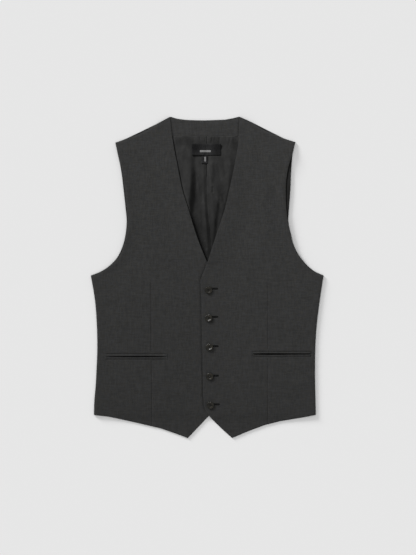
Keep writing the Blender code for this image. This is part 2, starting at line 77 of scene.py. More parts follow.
# Spacing of the points, their distances from edges and from the lines that run down a front, and how
# many columns lie between those.
FRONT_PITCH = 3
BACK_PITCH = 6
EDGE_STEPS = np.array([0, 0.15, 0.35, 0.9, 2, 3.2, 5, 7.2, 9.4, 12])
LINE_STEPS = np.array([0.4, 0.9, 1.6, 2.8, 4.6, 7])
LEAST_STEP = 1
PRESS_COLUMNS = 4
DART_COLUMNS = 26
SIDE_COLUMNS = 34
POCKET_BAND = 22
POCKET_TIMES = 3

# How far the cloth is lifted at the armholes, its reach inward, and y and length of its foot and head.
ARM_LIFT = 2.4
ARM_REACH = 34
ARM_SPAN = ((4, 30), (288, 22))

# How a front leaves its seams, the back's hem and the front below it.
SEAM_ROLL = 5
HEM_FALL = 22
OVERLAP_GAP = 0.3
PRESS_DEPTHS = [(-200, 1.9), (-165, 1.8)]
PRESS_RAMPS = [(-200, 3), (-165, 5.2)]
PRESS_SPAN = ((-296, 12), (38, 14))
OVERLAP_MARGIN = 9
OVERLAP_FALL = 30

# Air under the middle of a front.
CROWN = 3
CROWN_START = 40
CROWN_INNER_RAMP = 60
CROWN_SEAM_RAMP = 70
CROWN_HEM_RAMP = 80

# A cloth edge: its rounding, its roll, and the slight rise of the seam allowance turned in behind it.
EDGE_ROUND = 0.3
EDGE_LEAST = 0.5
EDGE_ROLL = 3
ALLOWANCE = 8.5
ALLOWANCE_FADE = 2.5
ALLOWANCE_RISE = 0.16

# A row for each section across a front, from its hem up: x, y of its inner and of its outer end.
FRONT_SECTIONS = {
    "right": [
        (-41.2, -341.5, -240.6, -292.6), (-18.7, -317.8, -240.2, -276), (3.8, -294.1, -239.4, -258),
        (17, -280, -237.8, -241), (23, -264, -236.6, -226), (24, -222, -235.2, -199),
        (24, -160, -233.4, -152), (24, -100, -234.5, -98), (24, -50, -238.7, -46),
        (24, -8, -247.1, 3.6), (14.5, 8, -221.9, 14.5), (4.4, 22, -204, 27.2), (0.1, 31.8, -191.5, 40),
        (-15.2, 68.6, -178.6, 65.5), (-23.3, 91, -172.2, 91), (-31.4, 116.5, -169.6, 116.5),
        (-41.8, 151, -171.6, 148), (-51.2, 180.2, -175, 180.2), (-64.4, 244, -182.2, 231.2),
        (-72.5, 286.5, -189.9, 264), (-79.1, 340.6, -195.1, 285.8),
    ],
    "left": [
        (53.1, -341.5, 230.6, -292.2), (27.4, -318.2, 230.4, -277), (3.8, -293.4, 230, -260),
        (-5, -279, 229.6, -243), (-8.4, -256.5, 229.2, -226), (-9.5, -216, 229, -196),
        (-10.4, -154, 229.8, -146), (-11.6, -98, 233, -98), (-12.5, -48, 239.6, -46),
        (-14, -5.7, 247.1, 4), (-7.2, 12.8, 225.3, 14.5), (-3.6, 22, 210.4, 27.2),
        (0.1, 31.8, 199.5, 40), (12.2, 68.6, 184.6, 65.5), (19.5, 91, 177.6, 91),
        (28.2, 116.5, 172, 116.5), (38.8, 150, 168, 146), (45, 178, 166.6, 178),
        (58.5, 240, 171.5, 230), (65.7, 283.7, 181.4, 264), (68.4, 341, 187.2, 287.1),
    ],
}
UNDERARM_SECTION = 9

# Points along the fronts' hems and shoulders, each from its inner end to its outer one: x, y.
HEMS = {
    "right": [
        (-41.2, -341.5), (-65.2, -332.6), (-99.2, -320.9), (-150.2, -309), (-209.7, -295.8),
        (-240.6, -292.6),
    ],
    "left": [
        (53.1, -341.5), (87.8, -326.8), (121.8, -314.1), (155.8, -305.6), (206.8, -296.9),
        (230.6, -292.2),
    ],
}
SHOULDERS = {
    "right": [
        (-79.1, 340.6), (-107.7, 325.2), (-128, 312.9), (-144, 305.1), (-158, 299.8), (-175.7, 292.8),
        (-195.1, 285.8),
    ],
    "left": [
        (68.4, 341), (96.3, 328.4), (108, 319.9), (120, 313.2), (132, 307.6), (144, 303),
        (164.3, 294.1), (187.2, 286.9),
    ],
}

# The back's shoulders, which show as a dark line along the middle of the fronts' shoulders: x, y.
BACK_SHOULDERS = {
    "right": [(-79.1, 340.6), (-107.7, 325.7), (-141.7, 309.2), (-175.7, 293), (-195.1, 285.8)],
    "left": [(68.4, 341), (96.3, 328.7), (130.3, 311.3), (164.3, 294.3), (187.2, 287.1)],
}

# A row for each section across half of the back, from its hem up: y on the centre seam, outer x and y.
BACK_SECTIONS = {
    "right": [
        (-282, -240.3, -288.5), (-226, -236.6, -226), (-152, -233.4, -152), (-98, -234.5, -98),
        (-46, -238.7, -46), (3.6, -247.1, 3.6), (18, -221.9, 14.5), (32, -204.4, 27.2),
        (46, -192.5, 40), (70, -179.8, 65.5), (94, -173.4, 91), (120, -170.9, 116.5),
        (156, -173.4, 148), (190, -176.8, 180.2), (246, -183.4, 231.2), (290, -190.4, 264),
        (333.4, -195.1, 285.8),
    ],
    "left": [
        (-282, 230.5, -288.5), (-226, 229.2, -226), (-146, 229.8, -146), (-98, 233, -98),
        (-46, 239.6, -46), (4, 247.1, 4), (18, 225.3, 14.5), (32, 210.4, 27.2), (46, 199.5, 40),
        (70, 184.9, 65.5), (94, 178, 91), (120, 172.6, 116.5), (156, 173.9, 150), (190, 176.2, 180.2),
        (246, 178.6, 231.2), (290, 181.6, 264), (333.4, 187.4, 287.1),
    ],
}
BACK_UNDERARM_SECTION = 5

# Points along the back's neck, centre seam and hem: x, y, with the hem's x counted from the middle.
NECKS = {
    "right": [(-5, 333.4), (-30, 333.8), (-48.2, 334.7), (-65.2, 337.2), (-78.6, 341.5)],
    "left": [(-5, 333.4), (20, 334.2), (36.8, 334.9), (53.8, 337.7), (68.4, 341.5)],
}
CENTRE_SEAM = [(2, -282), (-5, 333.4)]
BACK_HEM = [(0, -282), (240, -288.5)]

# The neck facing. The fronts stay level over it out to its reach, then come down to the shoulder seam.
FACING_FOOT = 299.7
FACING_HALF = 92
FACING_REACH = 112
FACING_FALL = 14
FACING_INSET = 0.4
FACING_PITCH = 1.5
FACING_RISE = 1.2
FACING_FADE = 12
FACING_ROLLS = (24, 5)

# The facing's rows, over its usual length, and how its top edge is smoothed but for its ends.
FACING_LENGTH = 33
FACING_ROWS = 16
FACING_EDGE = 7
FACING_EDGE_ROWS = 7
FACING_BLUR = 5
FACING_END = 12

# The back's lining: it stops short of the seams under the fronts, and rises past the facing's ends.
LINING_HEM = -272
LINING_INSET = 14
LINING_TOP_OUTER = 266
LINING_CORNERS = (98, 112)
LINING_CORNER_RISE = 12
LINING_SHOWN_COLUMNS = 64
LINING_UNDER_COLUMNS = 8
LINING_LEAST_SHOWN = 0.06
LINING_MIDDLE = (0, 60)
LINING_SHOWN_FOOT = 24
LINING_HIDDEN_ROWS = 50
LINING_SHOWN_ROWS = 190
NECKLINE_PROBES = 401

# The lining's puffed strip below the facing.
PUFF = 0.95
PUFF_SPAN = ((279.5, 15), (310, 6))
PUCKER_START = 4

# The centre pleat: the left half of the lining is lifted, and laps over the right half.
PLEAT_LINE = [
    (2, -272), (8, 30), (8.5, 60), (7, 79), (5.8, 95), (4.6, 111), (2.7, 130), (1.2, 152), (-1, 200),
    (-0.4, 240), (-1, 299.7),
]
PLEAT_LAP = 8
PLEAT_LIFT = 1.15
PLEAT_SLOPE = 9

# Where along the pleat its lift and its lap start and end, and where the right half stops sinking under
# the left one: y and length of each end.
LIFT_SPAN = ((70, 20), (250, 12))
LAP_SPAN = ((110, 30), (216, 20))
SINK_HEAD = (286, 14)

# The lining is free of the fronts this far inside the necklines, and keeps to this share of their lift
# where it runs under them.
NECK_CALM = 5
NECK_ROOM = 0.98

# A row for each soft ridge, or trough if its height is negative: x, y of both ends, half width, height.
# It is half as high at its ends, and runs out past them by half of this share of its length.
FOLD_FADE = 0.25
LINING_FOLDS = [
    (-50, 276, -54, 236, 4, 0.5), (-62, 262, -54, 236, 4, -0.5), (-22, 214, -17, 186, 2.5, 0.4),
    (-27, 186, -20, 160, 2.5, -0.5), (-14, 190, -11, 160, 2, -0.5), (-16, 146, -13, 116, 3, 0.4),
    (-22, 130, -17, 100, 3, -0.4), (4, 236, 9, 200, 2.6, 0.5), (11.5, 192, 12.5, 180, 2.2, -0.9),
    (14, 198, 32, 164, 2.4, 0.6), (10, 182, 28, 150, 2.4, -0.6), (33, 176, 38, 150, 3, -0.5),
    (22, 240, 29, 206, 3, -0.5), (34, 250, 40, 214, 3.5, -0.4), (46, 262, 50, 236, 4, 0.5),
    (-14, 92, -5, 78, 2.4, -0.8), (-10, 73, -1, 60, 2.4, -0.8),
]

# The lining's large folds, as lines up it in turn from left to right: y, x, height. The height eases
# from each line to the next, so each is a crest or the bottom of a trough.
LINES_APART = 0.5
RELIEF = {
    "right": [
        [(36, -12, 0), (60, -20, 0.3), (120, -44, 0.5), (140, -50, 2.6), (180, -60, 3.1),
         (250, -68, 2.8), (280, -72, 0.9), (299.7, -74, 0.3)],
        [(36, -10, 0), (60, -17, 0.4), (100, -30, 0.5), (118, -38, 1.2), (136, -43, 6), (164, -40, 7.2),
         (200, -36.5, 6.8), (228, -36, 5), (252, -37, 2.6), (280, -38, 0.6)],
        [(36, -8, 0), (60, -14, 0.2), (100, -26, 0.2), (136, -29, 0.2), (164, -24, 0.1),
         (200, -22, 0.1), (228, -23, 0.2), (252, -25, 0.4), (280, -27, 0.5)],
        [(36, -6, 0.1), (70, -8, 0.4), (100, -12, 0.3), (150, -13, 0.1), (200, -13, 0.1),
         (236, -14, 0.4), (262, -16, 0.6), (280, -16, 0.6)],
        [(36, -1, 0.1), (70, 2, 1.5), (95, 1, 2.1), (120, -1.5, 2.3), (150, -3.5, 1.9),
         (170, -4.5, 1.4), (195, -5, 1), (230, -5, 0.9), (262, -5, 0.8), (280, -5, 0.5)],
    ],
    "left": [
        [(36, 8, 0), (80, 7, 0.2), (110, 4, 0.2), (200, -1, 0.5), (262, 0, 0.4)],
        [(36, 8.5, 0.2), (70, 11.5, 0.6), (90, 12.5, 0.8), (110, 14, 1.3), (130, 16.5, 2),
         (150, 19, 2.6), (166, 21.5, 2.8), (190, 19, 2.3), (225, 14, 2.4), (262, 12, 1.4),
         (282, 11, 0.6)],
        [(36, 9, 0), (70, 16, 0.1), (90, 18.5, 0.1), (110, 21.5, 0.2), (130, 24.5, 0.4),
         (150, 26.5, 1.1), (166, 28, 1.8), (190, 30, 2), (225, 28, 2), (262, 28, 1), (282, 26, 0.7)],
        [(36, 9.5, 0), (70, 18, 0.3), (130, 30, 1), (166, 38, 1.8), (190, 44, 2.1), (225, 46, 2.1),
         (262, 49, 1.4), (282, 50, 1)],
        [(36, 10, 0), (70, 20, 0.2), (130, 36, 0.3), (166, 46, 0.4), (190, 52, 0.4), (225, 58, 0.3),
         (262, 65, 0.1), (282, 66, 0)],
    ],
}

# A row for each pucker where the lining is eased on to the facing: x, lean, reach, half width, height.
PUCKERS = [
    (-62, 2, 9, 4, 0.1), (-50, -3, 12, 5, -0.13), (-29, 2, 12, 2.6, -0.23), (-15.5, 0, 9, 1.6, -0.45),
    (-9.5, 3, 9, 2, 0.33), (-3.8, -1, 15, 1.5, -0.25), (5, 2, 11, 2.4, 0.29),
    (10.5, -1, 12, 1.4, -0.52), (17, -2, 9, 1.5, -0.45), (21.5, 3, 10, 1.8, 0.12),
    (27.5, -3, 16, 2.2, -0.45), (34, 4, 7, 2, 0.1), (38.5, 2, 7, 1.7, -0.35), (43, 3, 12, 2.2, 0.1),
    (50, -6, 24, 2, -0.35), (56, 2, 10, 2.4, -0.5), (60.5, 2, 9, 2, -0.45),
]

# The fronts' creases, in rows as the lining's folds are.
FRONT_FOLDS = {
    "left": [
        (88, 274, 134, 176, 16, 0.9), (62, 66, 150, 26, 20, 0.5), (104, 282, 146, 176, 9, -1.9),
        (150, 250, 156, 176, 8, 0.6), (118, 160, 178, 58, 14, -0.4), (192, 36, 120, -8, 12, 0.5),
        (206, 18, 150, -30, 9, -0.4), (30, -6, 84, -16, 10, 0.3), (28, -58, 96, -52, 14, 0.35),
        (30, -118, 84, -124, 12, 0.3), (34, -180, 92, -176, 12, 0.3), (228, -70, 176, -96, 12, 0.4),
        (222, -214, 170, -236, 14, 0.45), (222, -268, 150, -276, 9, 0.4),
        (60, -296, 120, -270, 12, 0.35),
    ],
    "right": [
        (-96, 262, -128, 170, 18, 0.6), (-60, 60, -150, 20, 20, 0.5), (-110, 268, -150, 190, 10, -0.4),
        (-160, 196, -96, 152, 12, 0.35), (-164, 142, -88, 122, 9, 0.4), (-156, 116, -80, 104, 8, -0.35),
        (-200, 34, -130, -6, 12, 0.45), (-210, 16, -150, -32, 9, -0.35), (-40, -46, -110, -60, 12, 0.3),
        (-36, -118, -96, -112, 12, 0.3), (-226, -84, -170, -108, 12, 0.4),
        (-228, -216, -160, -232, 14, 0.45), (-232, -262, -176, -266, 9, 0.4),
        (-50, -300, -120, -270, 12, 0.35),
    ],
}

# How far the fronts' edges stand off the lining along the neck: y, height.
NECK_LIFTS = [
    (-20, 0), (8, 0.3), (30, 1.4), (50, 3.2), (80, 4.2), (120, 4), (170, 3.2), (230, 3), (255, 1.8),
    (275, 1.1), (300, 0.6), (335, 0),
]
NECK_LIFT_WIDTH = 55

# The long low waves that keep the fronts from lying dead flat: reach along x and y, phase, height.
WAVES = [(47, 181, 0.3, 0.06), (-83, 67, 1.9, 0.07), (139, 39, 4.1, 0.05), (29, -71, 2.6, 0.03)]

# The darts: y, x of each seam, which stops short of the pocket, and width, depth of it and its hollow.
DARTS = {
    "right": [(-290, -117.4), (-190, -117.5), (-145, -118.9), (0, -119.1)],
    "left": [(-290, 128.5), (0, 128.5)],
}
DART_TOP = -3
DART_FADE = 14
DART_STOP = 7
DART_FEATHER = 4
DART_RANGE = (0.3, 0.7)
DART_DEPTHS = ((0.9, 0.95), (4.5, 0.3))

# The double-welted pockets. A mouth's width is given at even steps along it, and its ends fade out.
Pocket = namedtuple("Pocket", "x0 x1 mouth_y upper lower mouth fade")

POCKETS = {
    "right": Pocket(-217, -84, -168.3, 6.2, 6, (0.8, 1.6, 2.1, 2.3, 2.2, 1.9, 0.9), 8),
    "left": Pocket(97, 219.6, -162.8, 5.4, 6.2, (2, 3.1, 3.5, 3, 2.4, 2, 1.8), 1.5),
}
POCKET_RECESS = 1.75
POCKET_EDGE = 1.5
WELT_COLUMNS = 90
WELT_ROWS = 12
WELT_PROUD = 0.75
WELT_LEAST = 0.3
WELT_SINK = 0.05
WELT_ROLL = {"upper": (0.4, 1.8), "lower": (0.3, 1.05)}
BAG_REACH = 2.6
BAG_RISE = 0.25

# The label below the facing, the size tab at its foot, and the plain bars woven into them.
Label = namedtuple("Label", "name x y width height wall")

LABELS = [
    Label("label", -1.6, 271, 61.8, 25, 0.7),
    Label("size_tab", -5.4, 249.8, 13.8, 16.6, 0.4),
]
BARS = [
    Label("label_bar", -3.8, 267.5, 23.2, 4.4, 0.12),
    Label("size_tab_bar", -4.1, 250.6, 3.4, 9.8, 0.12),
]
LABEL_PITCH = 1
BAR_PITCH = 0.6
LABEL_LEAST = 6
LABEL_LIFT = 0.08

# The label's foot curls up toward its left end, and its head rises to the facing, least in the middle.
LABEL_CURL = 1.15
LABEL_CURL_REACH = 8
CURL_GAIN = 1.4
CURL_START = 0.3
LABEL_SLOPE = 1.8
LABEL_SLOPE_REACH = 15
SLOPE_LEAST = 0.25

# A row for each button, from the top: x, y, turn and lean about X and Y in degrees, and how far above
# its middle its buttonhole lies and beside it ends.
BUTTONS = [
    (2.8, -27, 12, 7.5, 1, 3, 17.9),
    (3.1, -86.7, -8, -4, -3, 2.9, 18.2),
    (4.6, -148.1, 31, -4.5, 0, 2.1, 17.5),
    (5.2, -210.2, 5, 5, -0.5, 1.6, 17.5),
    (6.8, -270.9, -20, 9, 0.5, 1.4, 17.7),
]
BUTTONHOLE_START = -2

# Half of a button's section, from the middle of its face to that of its back: radius, height.
BUTTON_PROFILE = [
    (0, 1.95), (2.4, 1.95), (3.4, 2.02), (4.1, 2.22), (4.8, 2.58), (5.4, 2.86), (6, 3), (6.7, 2.98),
    (7.2, 2.86), (7.55, 2.6), (7.72, 2.1), (7.75, 1.55), (7.6, 1.05), (7.1, 0.5), (6.4, 0.15), (5.4, 0),
    (0, 0),
]
BUTTON_SIDES = 72
HOLE_RADIUS = 0.8
HOLE_OFFSET = 1.45
HOLE_DEPTH = 20
HOLE_SIDES = 20

# Thread: its sides, how far it narrows at its ends, and a direction that none of it runs in.
THREAD_SIDES = 6
THREAD_TIP = 0.35
THREAD_ASIDE = (0.31, 0.17, 0.93)

# A buttonhole's stitches, along half of its slit and in a fan round its end.
STITCH_PITCH = 0.62
STITCH_REACH = 2.2
STITCH_RADIUS = 0.36
STITCH_RISE = 0.35
STITCH_SINK = 0.1
STITCH_POINTS = 5
SLIT_HALF = 0.15
FAN_TURN = 1.2
FAN_STITCHES = 7

# A button's thread: the strands between two holes, and those of its shank down to the cloth. Heights
# are over the button's underside.
STRANDS = (-0.3, 0, 0.3)
STRAND_RADIUS = 0.3
STRAND_SEAT = 0.55
STRAND_RISE = 1.55
STRAND_POWER = 0.35
STRAND_POINTS = 9
SHANK_STRANDS = ((-0.8, -0.8), (0.8, -0.8), (0.8, 0.8), (-0.8, 0.8), (0, 0))
SHANK_SINK = 0.3
SHANK_TOP = 1.2
SHANK_POINTS = 4

# The two colours that each material is mixed from, and the tints that colour the wool's yarns.
COLOURS = {
    "wool_cloth": ((0.024, 0.024, 0.0237), (0.038, 0.038, 0.0379)),
    "wool_tints": ((0.98, 1, 1.03), (1.02, 1, 0.95)),
    "satin_cloth": ((0.0074, 0.0074, 0.0073), (0.0112, 0.0112, 0.011)),
    # The pocket bag's cloth is painted near black, as painted shade in the slit between the welts.
    "pocket_bag": ((0.0015, 0.0015, 0.0015), (0.003, 0.003, 0.003)),
    # The two lining halves are one satin; the left one is painted a little lighter than the right one,
    # as painted sheen.
    "lining_left": ((0.0114, 0.0114, 0.0112), (0.0161, 0.0161, 0.0158)),
    "lining_right": ((0.0111, 0.0111, 0.0109), (0.0159, 0.0159, 0.0156)),
    "label_ribbon": ((0.0064, 0.0064, 0.0066), (0.0112, 0.0112, 0.0115)),
    "horn_button": ((0.005, 0.0049, 0.0036), (0.014, 0.0125, 0.0088)),
    "dark_thread": ((0.0025, 0.0025, 0.0025), (0.00375, 0.00375, 0.00375)),
    "pale_thread": ((0.074, 0.074, 0.074), (0.111, 0.111, 0.111)),
}

# Painted shade along the object: where each colour starts and stops darkening, in metres, and how much
# it is scaled by at either end.
WOOL_PAINTED_SHADE = (-0.345, 0.34, 0.815, 1.095)
SATIN_PAINTED_SHADE = (0.1, 0.21, 0.74, 1.11)
RIBBON_PAINTED_SHADE = (0.008, 0.022, 1.2, 0.72)
WOOL_PAINTED_SHADE_SLANT = 0.3

# The pitch of threads and ribs, and how high satin's threads stand beside its crumples.
WOOL_PITCH = 0.55
SATIN_PITCH = 0.3
RIB_PITCH = 0.4
SATIN_THREAD_SHARE = 0.03

# The suns: azimuth (0 is from +X, 90 from +Y), elevation and width in degrees, and strength.
SUNS = {
    "low_key": (134, 13, 13, 3.7),
    "overhead": (0, 90, 60, 0.447),
    "key": (130, 36, 30, 2.13),
    "lining_key": (132, 24, 18, 10.6),
    "glint": (98, 45, 9, 2.1),
}
SKY_STRENGTH = 0.586
FLOOR_COLOUR = (0.8, 0.8, 0.8, 1)
FLOOR_HALF = 20
FLOOR_GAP = 0.02

# The camera, in metres, but for its sensor, the photo's height in pixels and the size of a pixel.
CAMERA_PLACE = (0.0017, -0.0004)
CAMERA_HEIGHT = 3
SENSOR = 36
PHOTO_HEIGHT = 555
PIXEL = 2.125


def ease(value):
    """A smooth step from 0 to 1."""
    share = np.clip(value, 0, 1)
    return share * share * (3 - 2 * share)


def xy(points):
    """The x and the y of points."""
    return points[..., 0], points[..., 1]


def between(y, foot, head):
    """1 along a stretch, easing from 0 at its foot and to 0 at its head: place, length of each."""
    return ease((y - foot[0]) / foot[1]) * ease((head[0] - y) / head[1])


def read(table, places):
    """The second column of a table, read at places along its first one."""
    return np.interp(places, *np.array(table).T)


def x_along(line, y):
    """The x of a line that runs up from hem to neck, at each y."""
    return np.interp(y, *np.array(line).T[::-1])


def flow(table, corner, step):
    """Rows on smooth curves through a table's rows, with a break in direction at one of them."""
    table = np.array(table, dtype=float)
    rows = []
    for part in (table[: corner + 1], table[corner:]):
        lengths = np.abs(np.diff(part, axis=0)).max(axis=1)
        slopes = np.gradient(part, np.append(0, np.cumsum(lengths)), axis=0)
        for i, length in enumerate(lengths):
            count = max(1, round(length / step))
            for share in np.arange(count) / count:
                stay = 2 * share**3 - 3 * share**2 + 1
                leave = (share**3 - 2 * share**2 + share) * length
                arrive = (share**3 - share**2) * length
                row = stay * part[i] + (1 - stay) * part[i + 1]
                rows.append(row + leave * slopes[i] + arrive * slopes[i + 1])
    return np.array([*rows, table[-1]])


def travelled(rows):
    """How far each row lies from the first one."""
    return np.append(0, np.cumsum(np.abs(np.diff(rows, axis=0)).max(axis=1)))


def sample(rows, places):
    """Rows read off between others, at distances from the first one."""
    along = travelled(rows)
    return np.stack([np.interp(places, along, column) for column in rows.T], axis=1)


def bordered(rows):
    """The rows, with those near the first and the last one set closer."""
    along = travelled(rows)
    reach = EDGE_STEPS[-1] + LEAST_STEP
    kept = along[(along > reach) & (along < along[-1] - reach)]
    return sample(rows, np.concatenate([EDGE_STEPS, kept, along[-1] - EDGE_STEPS[::-1]]))


def denser(rows, chosen, times):
    """The rows, with more of them after each chosen one."""
    along = travelled(rows)
    places = []
    for i, run in enumerate(np.diff(along)):
        count = times if chosen[i] else 1
        places.extend(along[i] + run * np.arange(count) / count)
    return sample(rows, [*places, along[-1]])


def bend(edge, shares):
    """How far an edge's points stand above its straight chord, at shares of the chord."""
    x, y = np.array(edge).T
    along = (x - x[0]) / (x[-1] - x[0])
    return np.interp(shares, along, y - y[0] - along * (y[-1] - y[0]))


def spread(rows, hem, top, shares):
    """A grid of points: each row runs from its inner to its outer end, bent as hem and top are."""
    climbs = np.linalg.norm(np.diff((rows[:, :2] + rows[:, 2:]) / 2, axis=0), axis=1)
    heights = (np.append(0, np.cumsum(climbs)) / climbs.sum())[:, None]
    shares = np.broadcast_to(shares, (len(rows), np.shape(shares)[-1]))
    grid = rows[:, None, :2] + shares[..., None] * (rows[:, None, 2:] - rows[:, None, :2])
    grid[..., 1] += (1 - heights) * bend(hem, shares) + heights * bend(top, shares)
    return grid


def rectangle(x_range, y_range, across, up):
    """A grid of points over an upright rectangle."""
    return np.dstack(np.meshgrid(np.linspace(*x_range, across), np.linspace(*y_range, up)))


def rim(grid):
    """The outline of a grid, once round and back to its start."""
    return np.concatenate([grid[0], grid[1:, -1], grid[-1, -2::-1], grid[-2::-1, 0]])


def distance_to(points, path):
    """Each point's distance to a path of straight runs."""
    nearest = np.full(points.shape[:-1], np.inf)
    for start, end in zip(path[:-1], path[1:]):
        run = end - start
        if run.any():
            share = np.clip(((points - start) @ run) / (run @ run), 0, 1)
            gap = np.linalg.norm(points - start - share[..., None] * run, axis=-1)
            nearest = np.minimum(nearest, gap)
    return nearest


def inset(path, distance, toward):
    """A path moved sideways by a distance, to the side that a point lies on."""
    tangent = np.gradient(path, axis=0)
    normal = np.stack([-tangent[:, 1], tangent[:, 0]], axis=1)
    normal /= np.linalg.norm(normal, axis=1)[:, None]
    side = np.sign(((toward - path) * normal).sum(axis=1))
    return path + distance * side[:, None] * normal


def folded(points, folds):
    """The height that a table of soft ridges and troughs adds at each point."""
    height = np.zeros(points.shape[:-1])
    for x0, y0, x1, y1, half_width, crest in folds:
        start = np.array([x0, y0])
        run = np.array([x1, y1]) - start
        share = ((points - start) @ run) / (run @ run)
        across = np.linalg.norm(points - start - share[..., None] * run, axis=-1)
        ends = ease(share / FOLD_FADE + 0.5) * ease((1 - share) / FOLD_FADE + 0.5)
        height += crest * ends * np.exp(-((across / half_width) ** 2))
    return height


def waved(points):
    """The height that the long low waves add at each point."""
    x, y = xy(points)
    height = 0
    for along_x, along_y, phase, crest in WAVES:
        turn = x / along_x + y / along_y
        height += crest * np.sin(turn * math.tau + phase)
    return height


def draped(points, lines):
    """The height of the large folds at each point, eased across from each line to the next."""
    x, y = xy(points)
    lines = [np.transpose(line) for line in lines]
    places = [np.interp(y, line[0], line[1]) for line in lines]
    crests = [np.interp(y, line[0], line[2]) for line in lines]
    height = crests[0]
    for i in range(len(lines) - 1):
        across = (x - places[i]) / np.maximum(places[i + 1] - places[i], LINES_APART)
        height = height + (crests[i + 1] - crests[i]) * ease(across)
    return height


def puckered(points):
    """The height that the puckers below the facing add at each point."""
    head = FACING_FOOT - 1
    folds = [(x, head, x + lean, head - reach, *size) for x, lean, reach, *size in PUCKERS]
    return folded(points, folds) * ease((FACING_FOOT - points[..., 1]) / PUCKER_START)


def rounded_over(low, grid, wall):
    """The face of a wall with a rounded edge, over its underside."""
    return low + rounded(distance_to(grid, rim(grid)), wall)


def rounded(edge, wall):
    """The thickness of a wall at a distance from its rounded edge."""
    lip = np.clip(1 - edge / EDGE_ROUND, 0, 1)
    return wall * (EDGE_LEAST + (1 - EDGE_LEAST) * np.sqrt(1 - lip**2))


def allowance(edge):
    """The slight rise over a seam allowance, which ends in a step down."""
    return ALLOWANCE_RISE * (1 - ease((edge - ALLOWANCE) / ALLOWANCE_FADE))


def arm_lift(points):
    """How far the cloth is lifted near the armholes."""
    x, y = xy(points)
    right, left = [x_along([row[1:] for row in BACK_SECTIONS[side]], y) for side in SIDES]
    inward = np.abs(np.where(x < 0, right, left)) - np.abs(x)
    return ARM_LIFT * (1 - ease(inward / ARM_REACH)) * between(y, *ARM_SPAN)


def neck_lift(y, outward):
    """How far a front is lifted off the lining near its neckline."""
    return read(NECK_LIFTS, y) * (1 - ease(outward / NECK_LIFT_WIDTH))


class Shader:
    """A Principled material, with short calls that add nodes to it."""

    def __init__(self, name, **values):
        self.material = bpy.data.materials.new(name)
        self.material.use_nodes = True
        self.tree = self.material.node_tree
        self.inputs = self.tree.nodes["Principled BSDF"].inputs
        for socket, value in values.items():
            self.inputs[socket.replace("_", " ")].default_value = value
        self.place = self.add("TexCoord").outputs["Object"]

    def add(self, kind, inputs=(), **settings):
        """A node, whose inputs are given in order or by name."""
        node = self.tree.nodes.new(f"ShaderNode{kind}")
        for setting, value in settings.items():
            setattr(node, setting, value)
        for socket, value in inputs.items() if isinstance(inputs, dict) else enumerate(inputs):
            self.set(node.inputs[socket], value)
        return node

    def set(self, socket, value):
        if isinstance(value, bpy.types.NodeSocket):
            self.tree.links.new(value, socket)
        else:
            socket.default_value = value

    def axes(self):
        return self.add("SeparateXYZ", [self.place]).outputs

    def maths(self, operation, first, second=0):
        return self.add("Math", [first, second], operation=operation).outputs[0]

    def noise(self, scale, detail=2, roughness=0.5):
        """Noise with so many lumps a metre along x, y and z."""
        place = self.add("Mapping", {"Vector": self.place, "Scale": scale}).outputs[0]
        inputs = {"Vector": place, "Scale": 1, "Detail": detail, "Roughness": roughness}
        return self.add("TexNoise", inputs).outputs["Fac"]

    def ranged(self, value, low, high, to_low=0, to_high=1):
        return self.add("MapRange", [value, low, high, to_low, to_high]).outputs[0]

    def blend(self, share, first, second):
        """A mix of two colours."""
        return self.add("Mix", {0: share, 6: (*first, 1), 7: (*second, 1)}, data_type="RGBA").outputs[2]

    def scaled(self, colour, share):
        return self.add("VectorMath", {0: colour, "Scale": share}, operation="SCALE").outputs[0]

    def threads(self, pitch):
        """The height of a plain weave whose threads lie a pitch apart, in millimetres."""
        x, y, _ = self.axes()
        turn = math.pi / (pitch * MM)
        across, along = [self.maths("SINE", self.maths("MULTIPLY", axis, turn)) for axis in (x, y)]
        return self.maths("MULTIPLY", across, along)

    def bump(self, height, distance, strength):
        """Raises the surface by a height, in millimetres at 1."""
        inputs = {"Height": height, "Distance": distance * MM, "Strength": strength}
        self.set(self.inputs["Normal"], self.add("Bump", inputs).outputs[0])

    def colour(self, value):
        self.set(self.inputs["Base Color"], value)


def wool_material(name):
    """Charcoal worsted: a fine plain weave of mixed yarns, with faint streaks both ways, and painted
    shade that darkens it toward the hem and the wearer's right.
    """
    wool = Shader(name, Roughness=0.92, Specular_IOR_Level=0.16, Sheen_Weight=0.06, Sheen_Roughness=0.5)
    upright = wool.noise((360, 62, 200), roughness=0.6)
    level = wool.noise((62, 360, 200), roughness=0.6)
    grain = wool.noise((800, 800, 400), detail=1)
    mixed = wool.maths("ADD", wool.maths("ADD", upright, level), grain)
    yarns = wool.blend(wool.ranged(mixed, low=1.18, high=1.82), *COLOURS[name])
    warm = wool.ranged(wool.noise((260, 260, 100), roughness=0.6), low=0.4, high=0.6)
    tint = wool.blend(warm, *COLOURS["wool_tints"])
    # Painted shade: the colour is scaled darker toward the hem and toward the wearer's right, and
    # lighter toward the neck.
    x, y, _ = wool.axes()
    slanted = wool.maths("ADD", y, wool.maths("MULTIPLY", x, WOOL_PAINTED_SHADE_SLANT))
    painted_shade = wool.ranged(slanted, *WOOL_PAINTED_SHADE)
    tinted = wool.add("VectorMath", [yarns, tint], operation="MULTIPLY").outputs[0]
    wool.colour(wool.scaled(tinted, painted_shade))
    wool.bump(wool.threads(WOOL_PITCH), distance=0.05, strength=0.6)
    return wool.material


